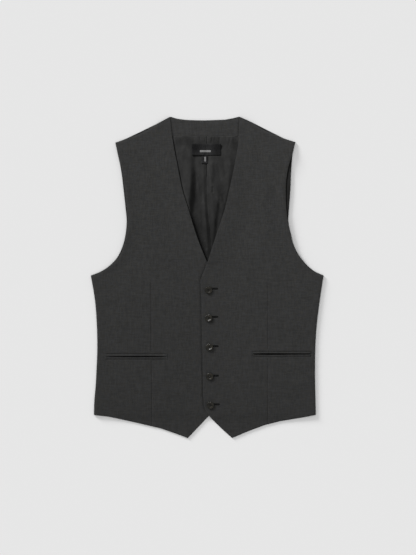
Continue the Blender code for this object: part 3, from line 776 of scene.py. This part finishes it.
def satin_material(name, roughness=0.58):
    """Lining satin: fine level threads, faint crumples and a soft sheen, with painted shade that darkens
    it toward the bottom of the open neck.
    """
    satin = Shader(name, Roughness=roughness, Specular_IOR_Level=0.012)
    lumps = satin.noise((60, 42, 60), detail=3, roughness=0.55)
    streaks = satin.ranged(lumps, low=0.35, high=0.65)
    # Painted shade: the colour is scaled darker from 210 mm down to 100 mm, toward the bottom of the
    # open neck.
    painted_shade = satin.ranged(satin.axes()[1], *SATIN_PAINTED_SHADE)
    satin.colour(satin.scaled(satin.blend(streaks, *COLOURS[name]), painted_shade))
    crumple = satin.noise((120, 80, 90), detail=3, roughness=0.6)
    fine = satin.maths("MULTIPLY", satin.threads(SATIN_PITCH), SATIN_THREAD_SHARE)
    satin.bump(satin.maths("ADD", crumple, fine), distance=0.6, strength=0.7)
    return satin.material


def ribbon_material(name):
    """The woven ribbon of a label, with fine level ribs, painted sheen in its middle and painted shade
    at its ends.
    """
    ribbon = Shader(name, Roughness=0.6, Specular_IOR_Level=0.02)
    x, y, _ = ribbon.axes()
    ribs = ribbon.maths("SINE", ribbon.maths("MULTIPLY", y, math.tau / (RIB_PITCH * MM)))
    # Painted sheen and shade: the colour is scaled lighter near the label's middle and darker toward its
    # ends.
    outward = ribbon.maths("ABSOLUTE", ribbon.maths("SUBTRACT", x, LABELS[0].x * MM))
    streaks = ribbon.ranged(ribbon.noise((500, 200, 100)), low=0.3, high=0.7)
    mixed = ribbon.blend(streaks, *COLOURS[name])
    ribbon.colour(ribbon.scaled(mixed, ribbon.ranged(outward, *RIBBON_PAINTED_SHADE)))
    ribbon.bump(ribs, distance=0.04, strength=0.7)
    return ribbon.material


def horn_material(name):
    """Dark polished horn, clouded with brown."""
    horn = Shader(name, Roughness=0.24, Specular_IOR_Level=0.25)
    lumps = horn.noise((160, 260, 160), detail=4, roughness=0.6)
    clouds = horn.ranged(lumps, low=0.4, high=0.62)
    horn.colour(horn.blend(clouds, *COLOURS[name]))
    horn.bump(horn.noise((900, 900, 900)), distance=0.01, strength=0.4)
    return horn.material


def thread_material(name):
    """Twisted sewing thread."""
    thread = Shader(name, Roughness=0.8, Specular_IOR_Level=0.15)
    thread.colour(thread.blend(thread.noise((1500, 1500, 1500)), *COLOURS[name]))
    return thread.material


def add_object(name, data):
    """An object in the scene."""
    item = bpy.data.objects.new(name, data)
    bpy.context.scene.collection.objects.link(item)
    return item


def add_mesh(name, points, faces, material):
    """A smooth mesh, in millimetres, with its faces turned outward."""
    data = bpy.data.meshes.new(name)
    data.from_pydata((np.asarray(points) * MM).tolist(), [], faces)
    mesh = bmesh.new()
    mesh.from_mesh(data)
    bmesh.ops.recalc_face_normals(mesh, faces=mesh.faces)
    mesh.to_mesh(data)
    mesh.free()
    data.shade_smooth()
    data.materials.append(material)
    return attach(add_object(name, data), "root")


def cells(index):
    """The four corners of each cell of a grid of numbers."""
    corners = (index[:-1, :-1], index[:-1, 1:], index[1:, 1:], index[1:, :-1])
    return np.stack(corners, axis=-1).reshape(-1, 4)


def wall_mesh(name, grid, low, high, material):
    """A closed cloth wall between two sheets over one grid of points."""
    rows, columns = grid.shape[:2]
    levels = [np.broadcast_to(level, (rows, columns)) for level in (low, high)]
    points = np.concatenate([np.dstack([grid, level]).reshape(-1, 3) for level in levels])
    count = rows * columns
    index = np.arange(count).reshape(rows, columns)
    around = rim(index)
    here, onward = around[:-1], around[1:]
    sides = np.stack([here, onward, onward + count, here + count], axis=1)
    faces = np.concatenate([cells(index), cells(index) + count, sides])
    return add_mesh(name, points, faces.tolist(), material)


def add_wall(name, grid, low, high, material):
    """A wall that replaces the solid of the same name."""
    piece = wall_mesh(f"cloth_{name}", grid, low, high, material)
    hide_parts(name)
    return piece


class Front:
    """The points and heights of one front."""

    def __init__(self, side, under=None, press=None):
        self.side, self.under, self.press = side, under, press
        self.pocket = POCKETS[side]
        rows = bordered(flow(FRONT_SECTIONS[side], UNDERARM_SECTION, FRONT_PITCH))
        from_mouth = np.abs((rows[:, 1] + rows[:, 3]) / 2 - self.pocket.mouth_y)
        rows = denser(rows, from_mouth < POCKET_BAND, POCKET_TIMES)
        shares = np.array([self.columns(row) for row in rows])
        self.grid = spread(rows, HEMS[side], SHOULDERS[side], shares)
        self.inner, self.outer, self.hem = self.grid[:, 0], self.grid[:, -1], self.grid[0]
        self.seams = np.concatenate([self.outer, self.grid[-1, ::-1]])
        self.outline = rim(self.grid)

    def columns(self, row):
        """Shares across a row, close together at its edges and at the lines that run down the front."""
        width = np.linalg.norm(row[2:] - row[:2])
        run = row[2] - row[0]
        dart = width * np.clip((read(DARTS[self.side], row[1]) - row[0]) / run, *DART_RANGE)
        lines = [(dart, DART_COLUMNS)]
        if self.press is not None:
            least = EDGE_STEPS[-1] + LINE_STEPS[-1] + LEAST_STEP
            press = width * (x_along(self.press, row[1]) - row[0]) / run
            lines.insert(0, (np.clip(press, least, dart - least), PRESS_COLUMNS))
        places, here = [EDGE_STEPS], EDGE_STEPS[-1]
        for line, count in lines:
            places.append(np.linspace(here, line - LINE_STEPS[-1], count + 2)[1:-1])
            places += [line - LINE_STEPS[::-1], [line], line + LINE_STEPS]
            here = line + LINE_STEPS[-1]
        places.append(np.linspace(here, width - EDGE_STEPS[-1], SIDE_COLUMNS + 2)[1:-1])
        return np.concatenate([*places, width - EDGE_STEPS[::-1]]) / width

    def lining_support(self, points):
        """The height of what lies below: the back at the seams, the lining or facing inside them."""
        x, y = np.abs(points[..., 0]), points[..., 1]
        inland = ease(distance_to(points, self.seams) / SEAM_ROLL)
        on_facing = ease((FACING_REACH - x) / FACING_FALL)
        height = LINING_FLOOR + (FRONT_FLOOR - LINING_FLOOR) * np.maximum(inland, on_facing)
        return height * (1 - ease((read(BACK_HEM, x) - y) / HEM_FALL))

    def crown(self, points):
        """The air under the middle of the front, its creases, and its lift along the neck."""
        paths = (self.seams, self.inner, self.hem)
        from_seam, from_inner, from_hem = [distance_to(points, path) for path in paths]
        height = CROWN * ease(from_seam / CROWN_SEAM_RAMP) * ease(from_hem / CROWN_HEM_RAMP)
        height = height * ease((from_inner - CROWN_START) / CROWN_INNER_RAMP)
        calm = ease(np.minimum(from_seam, from_hem) / ALLOWANCE)
        height += (folded(points, FRONT_FOLDS[self.side]) + waved(points)) * calm
        return height + neck_lift(points[..., 1], from_inner)

    def overlap(self, points):
        """How far this front is lifted where it lies over the front below it."""
        if self.under is None:
            return 0
        x, y = xy(points)
        past = x - x_along(self.under.inner, y) - OVERLAP_MARGIN
        lift = FRONT_WALL + OVERLAP_GAP - self.under.pressed(points)
        return lift * (1 - ease(past / OVERLAP_FALL))

    def pressed(self, points):
        """How far this front is pressed down by the edge of the front that lies over it."""
        if self.press is None:
            return 0
        x, y = xy(points)
        depth, ramp = read(PRESS_DEPTHS, y), read(PRESS_RAMPS, y)
        past = x - x_along(self.press, y) + ramp
        return depth * ease(past / ramp) * between(y, *PRESS_SPAN)

    def low(self, points):
        """The height of the front's underside."""
        height = self.lining_support(points) + self.crown(points) + self.overlap(points)
        return np.maximum(height, 0) + arm_lift(points)

    def dart(self, points):
        """The depth of the dart's pressed seam, with a soft hollow beside it."""
        x, y = xy(points)
        reach = ease((DART_TOP - y) / DART_FADE)
        reach = reach * ease((np.abs(y - self.pocket.mouth_y) - DART_STOP) / DART_FEATHER)
        across = x - read(DARTS[self.side], y)
        return reach * sum(deep * np.exp(-((across / wide) ** 2)) for wide, deep in DART_DEPTHS)

    def face(self, points, low):
        """The height of the cloth's face over its underside, without the pocket's opening."""
        edge = distance_to(points, self.outline)
        inside = ease(edge / EDGE_ROLL)
        wall = rounded(edge, FRONT_EDGE_WALL) + (FRONT_WALL - FRONT_EDGE_WALL) * inside
        wall = wall + allowance(edge) - self.dart(points) * inside - self.pressed(points)
        return low + np.maximum(wall, LEAST_WALL)

    def surface(self, points):
        return self.face(points, self.low(points))

    def pocket_ends(self, x):
        """1 along the pocket, easing to 0 just past its ends."""
        x0, x1, *_, fade = self.pocket
        return between(x, (x0 - POCKET_EDGE, fade), (x1 + POCKET_EDGE, fade))

    def recess(self, points):
        """The depth of the opening that the pocket's welts lie in."""
        foot = self.pocket.mouth_y - self.pocket.lower - POCKET_EDGE
        head = self.pocket.mouth_y + self.pocket.upper + POCKET_EDGE
        up = between(points[..., 1], (foot, POCKET_EDGE), (head, POCKET_EDGE))
        return POCKET_RECESS * self.pocket_ends(points[..., 0]) * up


def add_welts(front, wool, bag):
    """An upper and a lower welt, rolled toward the pocket's mouth, and the bag's cloth between them,
    painted near black as shade in the slit.
    """
    pocket, parts = front.pocket, []
    x = np.linspace(pocket.x0, pocket.x1, WELT_COLUMNS)
    half_mouth = np.interp(x, np.linspace(pocket.x0, pocket.x1, len(pocket.mouth)), pocket.mouth) / 2
    share = np.linspace(0, 1, WELT_ROWS)[:, None]
    reaches = (("upper", half_mouth, pocket.upper), ("lower", -half_mouth, -pocket.lower))
    for place, near, far in reaches:
        y = pocket.mouth_y + near + share * (far - near)
        grid = np.dstack([np.broadcast_to(x, y.shape), y])
        ends = front.pocket_ends(grid[..., 0])
        floor = front.surface(grid) - POCKET_RECESS * ends
        crest, fall = WELT_ROLL[place]
        roll = np.sqrt(np.clip(1 - (1 - np.minimum(share / crest, 1)) ** 2, 0, 1)) * (1 - share**fall)
        swell = np.maximum(POCKET_RECESS * ends + WELT_PROUD * ends - WELT_LEAST, 0) * roll
        name = f"pocket_{front.side}_{place}_welt"
        parts.append(add_wall(name, grid, floor - WELT_SINK, floor + WELT_LEAST + swell, wool))
    ends = (pocket.x0 + pocket.fade, pocket.x1 - pocket.fade)
    reach = (pocket.mouth_y - BAG_REACH, pocket.mouth_y + BAG_REACH)
    grid = rectangle(ends, reach, WELT_COLUMNS, WELT_ROWS)
    floor = front.surface(grid) - front.recess(grid)
    name = f"pocket_{front.side}_bag"
    return [*parts, wall_mesh(name, grid, floor - WELT_SINK, floor + BAG_RISE, bag)]


def add_fronts(wool, bag):
    """Both fronts: the left one lies over the right one."""
    press = flow(FRONT_SECTIONS["left"], UNDERARM_SECTION, FRONT_PITCH)[:, :2]
    right = Front("right", press=press)
    fronts = {"right": right, "left": Front("left", under=right)}
    for side, front in fronts.items():
        low = front.low(front.grid)
        high = front.face(front.grid, low) - front.recess(front.grid)
        piece = add_wall(f"front_{side}", front.grid, low, high, wool)
        add_welts(front, wool, bag)
    return fronts


def add_backs(satin):
    """The two halves of the back, flat on the surface but for the armholes' edges."""
    for side in SIDES:
        sections = BACK_SECTIONS[side]
        half_gap = np.sign(sections[0][1]) * GAP / 2
        rows = [(x_along(CENTRE_SEAM, row[0]) + half_gap, *row) for row in sections]
        rows = bordered(flow(rows, BACK_UNDERARM_SECTION, BACK_PITCH))
        top = NECKS[side] + BACK_SHOULDERS[side][1:]
        width = np.ptp(np.array(top)[:, 0])
        last = width - EDGE_STEPS[-1] - BACK_PITCH / 2
        inside = np.arange(EDGE_STEPS[-1] + BACK_PITCH, last, BACK_PITCH)
        shares = np.concatenate([EDGE_STEPS, inside, width - EDGE_STEPS[::-1]]) / width
        grid = spread(rows, rows[0].reshape(2, 2), top, shares)
        low = arm_lift(grid)
        piece = add_wall(f"back_{side}", grid, low, rounded_over(low, grid, BACK_WALL), satin)


def add_facing(fronts, wool):
    """The wool facing inside the back neck, from the neck's edge down to the lining."""
    edge = SHOULDERS["right"][::-1] + NECKS["right"][-2::-1] + NECKS["left"][1:-1] + SHOULDERS["left"]
    x = np.linspace(-FACING_HALF, FACING_HALF, round(2 * FACING_HALF / FACING_PITCH) + 1)
    sharp = read(edge, x)
    smooth = np.convolve(sharp, np.full(FACING_BLUR, 1 / FACING_BLUR), mode="same")
    top = np.where(np.abs(x) < FACING_HALF - FACING_END, smooth, sharp) - FACING_INSET
    steps = EDGE_STEPS[:FACING_EDGE_ROWS]
    inside = np.linspace(FACING_EDGE, FACING_LENGTH - FACING_EDGE, FACING_ROWS)
    shares = np.concatenate([steps, inside, FACING_LENGTH - steps[::-1]])[:, None] / FACING_LENGTH
    y = FACING_FOOT + shares * (top - FACING_FOOT)
    grid = np.dstack([np.broadcast_to(x, y.shape), y])
    depth = distance_to(grid, rim(grid))
    depths = zip(neck_depths(grid, fronts), FACING_ROLLS)
    from_right, from_left = [ease(deep / roll) for deep, roll in depths]
    held = np.concatenate([grid[:, -1], grid[-1, ::-1], grid[::-1, 0]])
    rise = FACING_RISE * from_right * from_left * ease(distance_to(grid, held) / FACING_FADE)
    high = LINING_FLOOR + rounded(depth, LINING_WALL) + allowance(depth) + rise
    piece = add_wall("neck_facing", grid, LINING_FLOOR, high, wool)


def neck_depths(points, fronts):
    """How deep each point lies inside the open neck, from the right neckline and from the left one."""
    x, y = xy(points)
    return x - x_along(fronts["right"].inner, y), x_along(fronts["left"].inner, y) - x


def lining_low(side, points, fronts):
    """The height of the underside of half of the lining: its folds, and its lift where it laps."""
    x, y = xy(points)
    past_pleat = x - x_along(PLEAT_LINE, y)
    height = folded(points, LINING_FOLDS) + draped(points, RELIEF[side]) + puckered(points)
    height = height + PUFF * between(y, *PUFF_SPAN)
    if side == "left":
        lift = PLEAT_LIFT * between(y, *LIFT_SPAN)
        height = height + lift * (1 - ease((past_pleat - PLEAT_SLOPE) / PLEAT_SLOPE))
    else:
        sunk = ease((past_pleat + PLEAT_LAP) / PLEAT_LAP) * ease((SINK_HEAD[0] - y) / SINK_HEAD[1])
        height = height * (1 - sunk)
    inside = np.minimum(*neck_depths(points, fronts))
    height = np.maximum(height, 0)
    below = np.minimum(height, NECK_ROOM * neck_lift(y, -inside))
    return LINING_FLOOR + arm_lift(points) + below + (height - below) * ease(inside / NECK_CALM)


def neckline_shares(rows, hem, top, fronts):
    """Shares across each row of the lining, with one column on the neckline that crosses it."""
    probes = np.linspace(0, 1, NECKLINE_PROBES)
    inside = np.minimum(*neck_depths(spread(rows, hem, top, probes), fronts))
    neckline = np.maximum((inside > 0).mean(axis=1), LINING_LEAST_SHOWN)[:, None]
    shown = neckline * np.linspace(0, 1, LINING_SHOWN_COLUMNS)
    corners = np.sign(rows[0, 2]) * np.array(LINING_CORNERS)
    corners = (corners - rows[:, :1]) / (rows[:, 2:3] - rows[:, :1])
    under = np.linspace(0, 1, LINING_UNDER_COLUMNS + 2)[1:-1]
    under = neckline + under * (corners[:, :1] - neckline)
    return np.hstack([shown, under, corners, (1 + corners[:, 1:]) / 2, np.ones_like(neckline)])


def lining_rows(side, front):
    """Rows across half of the lining, from the pleat to just inside the side seam and the armhole."""
    outer = inset(front.outer, LINING_INSET, np.array(LINING_MIDDLE))
    outer = outer[(outer[:, 1] > LINING_HEM) & (outer[:, 1] < LINING_TOP_OUTER)]
    hidden = np.linspace(LINING_HEM, LINING_SHOWN_FOOT, LINING_HIDDEN_ROWS, endpoint=False)
    inner_y = np.concatenate([hidden, np.linspace(LINING_SHOWN_FOOT, FACING_FOOT, LINING_SHOWN_ROWS)])
    shares = (inner_y - LINING_HEM) / (FACING_FOOT - LINING_HEM)
    outer = sample(outer, shares * travelled(outer)[-1])
    pleat = x_along(PLEAT_LINE, inner_y)
    if side == "left":
        inner_x = pleat + GAP / 2
    else:
        inner_x = pleat - GAP / 2 + PLEAT_LAP * between(inner_y, *LAP_SPAN)
    return np.column_stack([inner_x, inner_y, outer])


def add_linings(fronts, satins):
    """Both halves of the back's lining. The left one laps over the right one along the centre pleat."""
    for side, front in fronts.items():
        rows = lining_rows(side, front)
        near, far = np.sign(rows[0, 2]) * np.array(LINING_CORNERS)
        top = [(rows[-1, 0], FACING_FOOT), (near, FACING_FOOT), (far, FACING_FOOT + LINING_CORNER_RISE)]
        top.append((rows[-1, 2], rows[-1, 3]))
        hem = rows[0].reshape(2, 2)
        grid = spread(rows, hem, top, neckline_shares(rows, hem, top, fronts))
        low = lining_low(side, grid, fronts)
        high = rounded_over(low, grid, LINING_WALL)
        piece = add_wall(f"back_lining_{side}", grid, low, high, satins[side])


def label_grid(label, pitch):
    """A grid of points over a label."""
    x_range = (label.x - label.width / 2, label.x + label.width / 2)
    y_range = (label.y - label.height / 2, label.y + label.height / 2)
    counts = [max(LABEL_LEAST, round(size / pitch)) for size in (label.width, label.height)]
    return rectangle(x_range, y_range, *counts)


def label_low(label, points, fronts):
    """The height of a label's underside: the label follows the lining, and the tab lies flat on it."""
    x, y = xy(points)
    pleat = x_along(PLEAT_LINE, y)
    left = np.where(x > pleat, lining_low("left", points, fronts), 0)
    right = np.where(x < pleat + PLEAT_LAP, lining_low("right", points, fronts), 0)
    height = np.maximum(left, right) + LINING_WALL + LABEL_LIFT
    if label.name == "size_tab":
        return np.broadcast_to(height.max(axis=1, keepdims=True), height.shape)
    foot = y - label.y + label.height / 2
    leftward = (label.x + label.width / 2 - x) / label.width
    curl = LABEL_CURL * ease(CURL_GAIN * leftward - CURL_START) * (1 - ease(foot / LABEL_CURL_REACH))
    outward = SLOPE_LEAST + (1 - SLOPE_LEAST) * ease(np.abs(2 * leftward - 1))
    slope = LABEL_SLOPE * outward * (1 - ease((label.height - foot) / LABEL_SLOPE_REACH))
    return height + curl + slope


def add_labels(fronts, ribbon, bar_thread):
    """The label and the tab, which lie on the lining, each with a plain bar woven in."""
    for label, bar in zip(LABELS, BARS):
        grid = label_grid(label, LABEL_PITCH)
        low = label_low(label, grid, fronts)
        high = rounded_over(low, grid, label.wall)
        piece = add_wall(label.name, grid, low, high, ribbon)
        bar_grid = label_grid(bar, BAR_PITCH)
        if label.name == "size_tab":
            top = np.interp(bar_grid[..., 1], grid[:, 0, 1], high.max(axis=1))
        else:
            top = label_low(label, bar_grid, fronts) + label.wall
        mark = wall_mesh(bar.name, bar_grid, top - bar.wall, top + bar.wall, bar_thread)


def tube(path, radius, first):
    """The points and faces of a closed tube of thread along a path, tapered at both ends."""
    path = np.asarray(path, dtype=float)
    run = np.gradient(path, axis=0)
    run /= np.linalg.norm(run, axis=1)[:, None]
    side = np.cross(run, THREAD_ASIDE)
    side /= np.linalg.norm(side, axis=1)[:, None]
    turns = np.linspace(0, math.tau, THREAD_SIDES, endpoint=False)[:, None]
    girth = np.full(len(path), radius)
    girth[[0, -1]] *= THREAD_TIP
    ring = side[:, None] * np.cos(turns) + np.cross(side, run)[:, None] * np.sin(turns)
    points = (path[:, None] + girth[:, None, None] * ring).reshape(-1, 3)
    index = first + np.arange(len(points)).reshape(len(path), THREAD_SIDES)
    faces = cells(np.hstack([index, index[:, :1]])).tolist()
    return points, faces + [index[0].tolist(), index[-1, ::-1].tolist()]


def add_thread(name, paths, radius, material):
    """Many threads as one mesh."""
    points, faces = [], []
    for path in paths:
        some, more = tube(path, radius, sum(len(part) for part in points))
        points.append(some)
        faces.extend(more)
    add_mesh(name, np.concatenate(points), faces, material)


def arch(start, end, rise, count, power=1):
    """A stitch that rises over the cloth between two points."""
    share = np.linspace(0, 1, count)[:, None]
    path = np.array(start) * (1 - share) + np.array(end) * share
    path[:, 2] += rise * np.sin(share[:, 0] * math.pi) ** power
    return path


def button_mesh(material):
    """One turned button with a dished face and four holes."""
    turns = np.linspace(0, math.tau, BUTTON_SIDES, endpoint=False)
    ring = np.stack([np.cos(turns), np.sin(turns)], axis=1)
    points = [[0, 0, BUTTON_PROFILE[0][1]]]
    for radius, height in BUTTON_PROFILE[1:-1]:
        points.extend([x * radius, y * radius, height] for x, y in ring)
    index = np.arange(1, len(points)).reshape(-1, BUTTON_SIDES)
    index = np.hstack([index, index[:, :1]])
    faces = cells(index).tolist()
    faces += [[0, a, b] for a, b in zip(index[0, :-1], index[0, 1:])]
    faces += [[len(points), b, a] for a, b in zip(index[-1, :-1], index[-1, 1:])]
    points.append([0, 0, BUTTON_PROFILE[-1][1]])
    button = add_mesh("button_form", points, faces, material)
    tools = bmesh.new()
    for x in (-HOLE_OFFSET, HOLE_OFFSET):
        for y in (-HOLE_OFFSET, HOLE_OFFSET):
            size = {"segments": HOLE_SIDES, "radius1": HOLE_RADIUS * MM, "radius2": HOLE_RADIUS * MM}
            made = bmesh.ops.create_cone(tools, cap_ends=True, depth=HOLE_DEPTH * MM, **size)
            bmesh.ops.translate(tools, verts=made["verts"], vec=(x * MM, y * MM, 0))
    data = bpy.data.meshes.new("button_holes")
    tools.to_mesh(data)
    tools.free()
    cutter = add_object("button_holes", data)
    cut = button.modifiers.new("holes", "BOOLEAN")
    cut.operation = "DIFFERENCE"
    cut.object = cutter
    graph = bpy.context.evaluated_depsgraph_get()
    shaped = bpy.data.meshes.new_from_object(button.evaluated_get(graph))
    shaped.shade_smooth()
    for item in (button, cutter):
        bpy.data.objects.remove(item, do_unlink=True)
    return shaped


def add_buttons(fronts, horn, thread):
    """The buttons, their thread and their buttonholes."""
    form = button_mesh(horn)
    front = fronts["left"]
    for number, (x, y, turn, *lean, hole_rise, hole_end) in enumerate(BUTTONS, 1):
        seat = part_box(f"button_{number}")[0][2]
        button = add_object(f"turned_button_{number}", form)
        button.location = (x * MM, y * MM, seat)
        button.rotation_mode = "ZXY"
        button.rotation_euler = [math.radians(angle) for angle in (*lean, turn)]
        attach(button, "root")
        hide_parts(f"button_{number}")
        place = np.array([x, y])
        turn = math.radians(turn)
        spin = np.array([[math.cos(turn), -math.sin(turn)], [math.sin(turn), math.cos(turn)]])
        paths = []
        for hole in (-HOLE_OFFSET, HOLE_OFFSET):
            for strand in STRANDS:
                ends = [place + spin @ (end, hole + strand) for end in (-HOLE_OFFSET, HOLE_OFFSET)]
                start, end = [(*point, seat / MM + STRAND_SEAT) for point in ends]
                paths.append(arch(start, end, STRAND_RISE, STRAND_POINTS, STRAND_POWER))
        ground = front.surface(place[None]).item()
        shank = np.linspace(ground - SHANK_SINK, seat / MM + SHANK_TOP, SHANK_POINTS)
        paths += [[(x + dx, y + dy, z) for z in shank] for dx, dy in SHANK_STRANDS]
        add_thread(f"button_thread_{number}", paths, STRAND_RADIUS, thread)
        add_buttonhole(number, x, y + hole_rise, x + hole_end, front, thread)


def add_buttonhole(number, x, y, end, front, thread):
    """A slit worked all round with close stitches, and a fan of them round its end."""
    stitches = [
        ((place, y + side * SLIT_HALF), (place, y + side * STITCH_REACH))
        for place in np.arange(x + BUTTONHOLE_START, end, STITCH_PITCH)
        for side in (-1, 1)
    ]
    for turn in np.linspace(-FAN_TURN, FAN_TURN, FAN_STITCHES):
        far = (end + math.cos(turn) * STITCH_REACH, y + math.sin(turn) * STITCH_REACH)
        stitches.append(((end, y), far))
    stitches = np.array(stitches)
    paths = [
        arch((*near, near_z), (*far, far_z - STITCH_SINK), STITCH_RISE, STITCH_POINTS)
        for (near, far), (near_z, far_z) in zip(stitches, front.surface(stitches))
    ]
    add_thread(f"buttonhole_{number}", paths, STITCH_RADIUS, thread)


def add_light(name, azimuth, elevation, angle, strength, lit):
    """A far soft light on some objects."""
    data = bpy.data.lights.new(name, "SUN")
    data.energy = strength
    data.angle = math.radians(angle)
    lamp = add_object(name, data)
    lamp.rotation_euler = (0, math.radians(90 - elevation), math.radians(azimuth))
    receivers = bpy.data.collections.new(f"{name}_receivers")
    for item in lit:
        receivers.objects.link(item)
    lamp.light_linking.receiver_collection = receivers


def add_floor():
    """A plain pale floor."""
    paint = Shader("floor", Roughness=0.9, Specular_IOR_Level=0)
    paint.colour(FLOOR_COLOUR)
    corners = [(x * FLOOR_HALF, y * FLOOR_HALF, 0) for x, y in ((-1, -1), (1, -1), (1, 1), (-1, 1))]
    data = bpy.data.meshes.new("floor")
    data.from_pydata(corners, [], [(0, 1, 2, 3)])
    data.materials.append(paint.material)
    floor = add_object("floor", data)
    floor.location.z = -FLOOR_GAP * MM
    floor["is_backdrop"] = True
    return floor


def add_studio():
    """The floor, soft light from the upper left, and the camera straight above."""
    scene = bpy.context.scene
    floor = add_floor()
    world = bpy.data.worlds.new("studio")
    world.use_nodes = True
    sky = world.node_tree.nodes["Background"].inputs
    sky["Color"].default_value = (1, 1, 1, 1)
    sky["Strength"].default_value = SKY_STRENGTH
    scene.world = world
    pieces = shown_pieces()
    shiny = [piece for piece in pieces if any(word in piece.name for word in ("back", "label", "tab"))]
    lit = {
        "low_key": [floor],
        "overhead": [floor],
        "key": [piece for piece in pieces if piece not in shiny],
        "lining_key": shiny,
        "glint": [piece for piece in pieces if "turned" in piece.name],
    }
    for name, sun in SUNS.items():
        add_light(name, *sun, lit[name])
    camera = add_object("camera", bpy.data.cameras.new("camera"))
    camera.data.sensor_width = SENSOR
    camera.data.lens = SENSOR * CAMERA_HEIGHT / (PHOTO_HEIGHT * PIXEL * MM)
    camera.location = (*CAMERA_PLACE, CAMERA_HEIGHT)
    scene.camera = camera
    scene.view_settings.view_transform = "Standard"
    scene.view_settings.look = "None"


def main():
    wool = wool_material("wool_cloth")
    satin = satin_material("satin_cloth")
    bag = satin_material("pocket_bag", roughness=0.6)
    linings = {side: satin_material(f"lining_{side}") for side in ("left", "right")}
    ribbon = ribbon_material("label_ribbon")
    horn = horn_material("horn_button")
    dark_thread = thread_material("dark_thread")
    pale_thread = thread_material("pale_thread")
    fronts = add_fronts(wool, bag)
    add_backs(satin)
    add_facing(fronts, wool)
    add_linings(fronts, linings)
    add_labels(fronts, ribbon, pale_thread)
    add_buttons(fronts, horn, dark_thread)
    add_studio()


main()
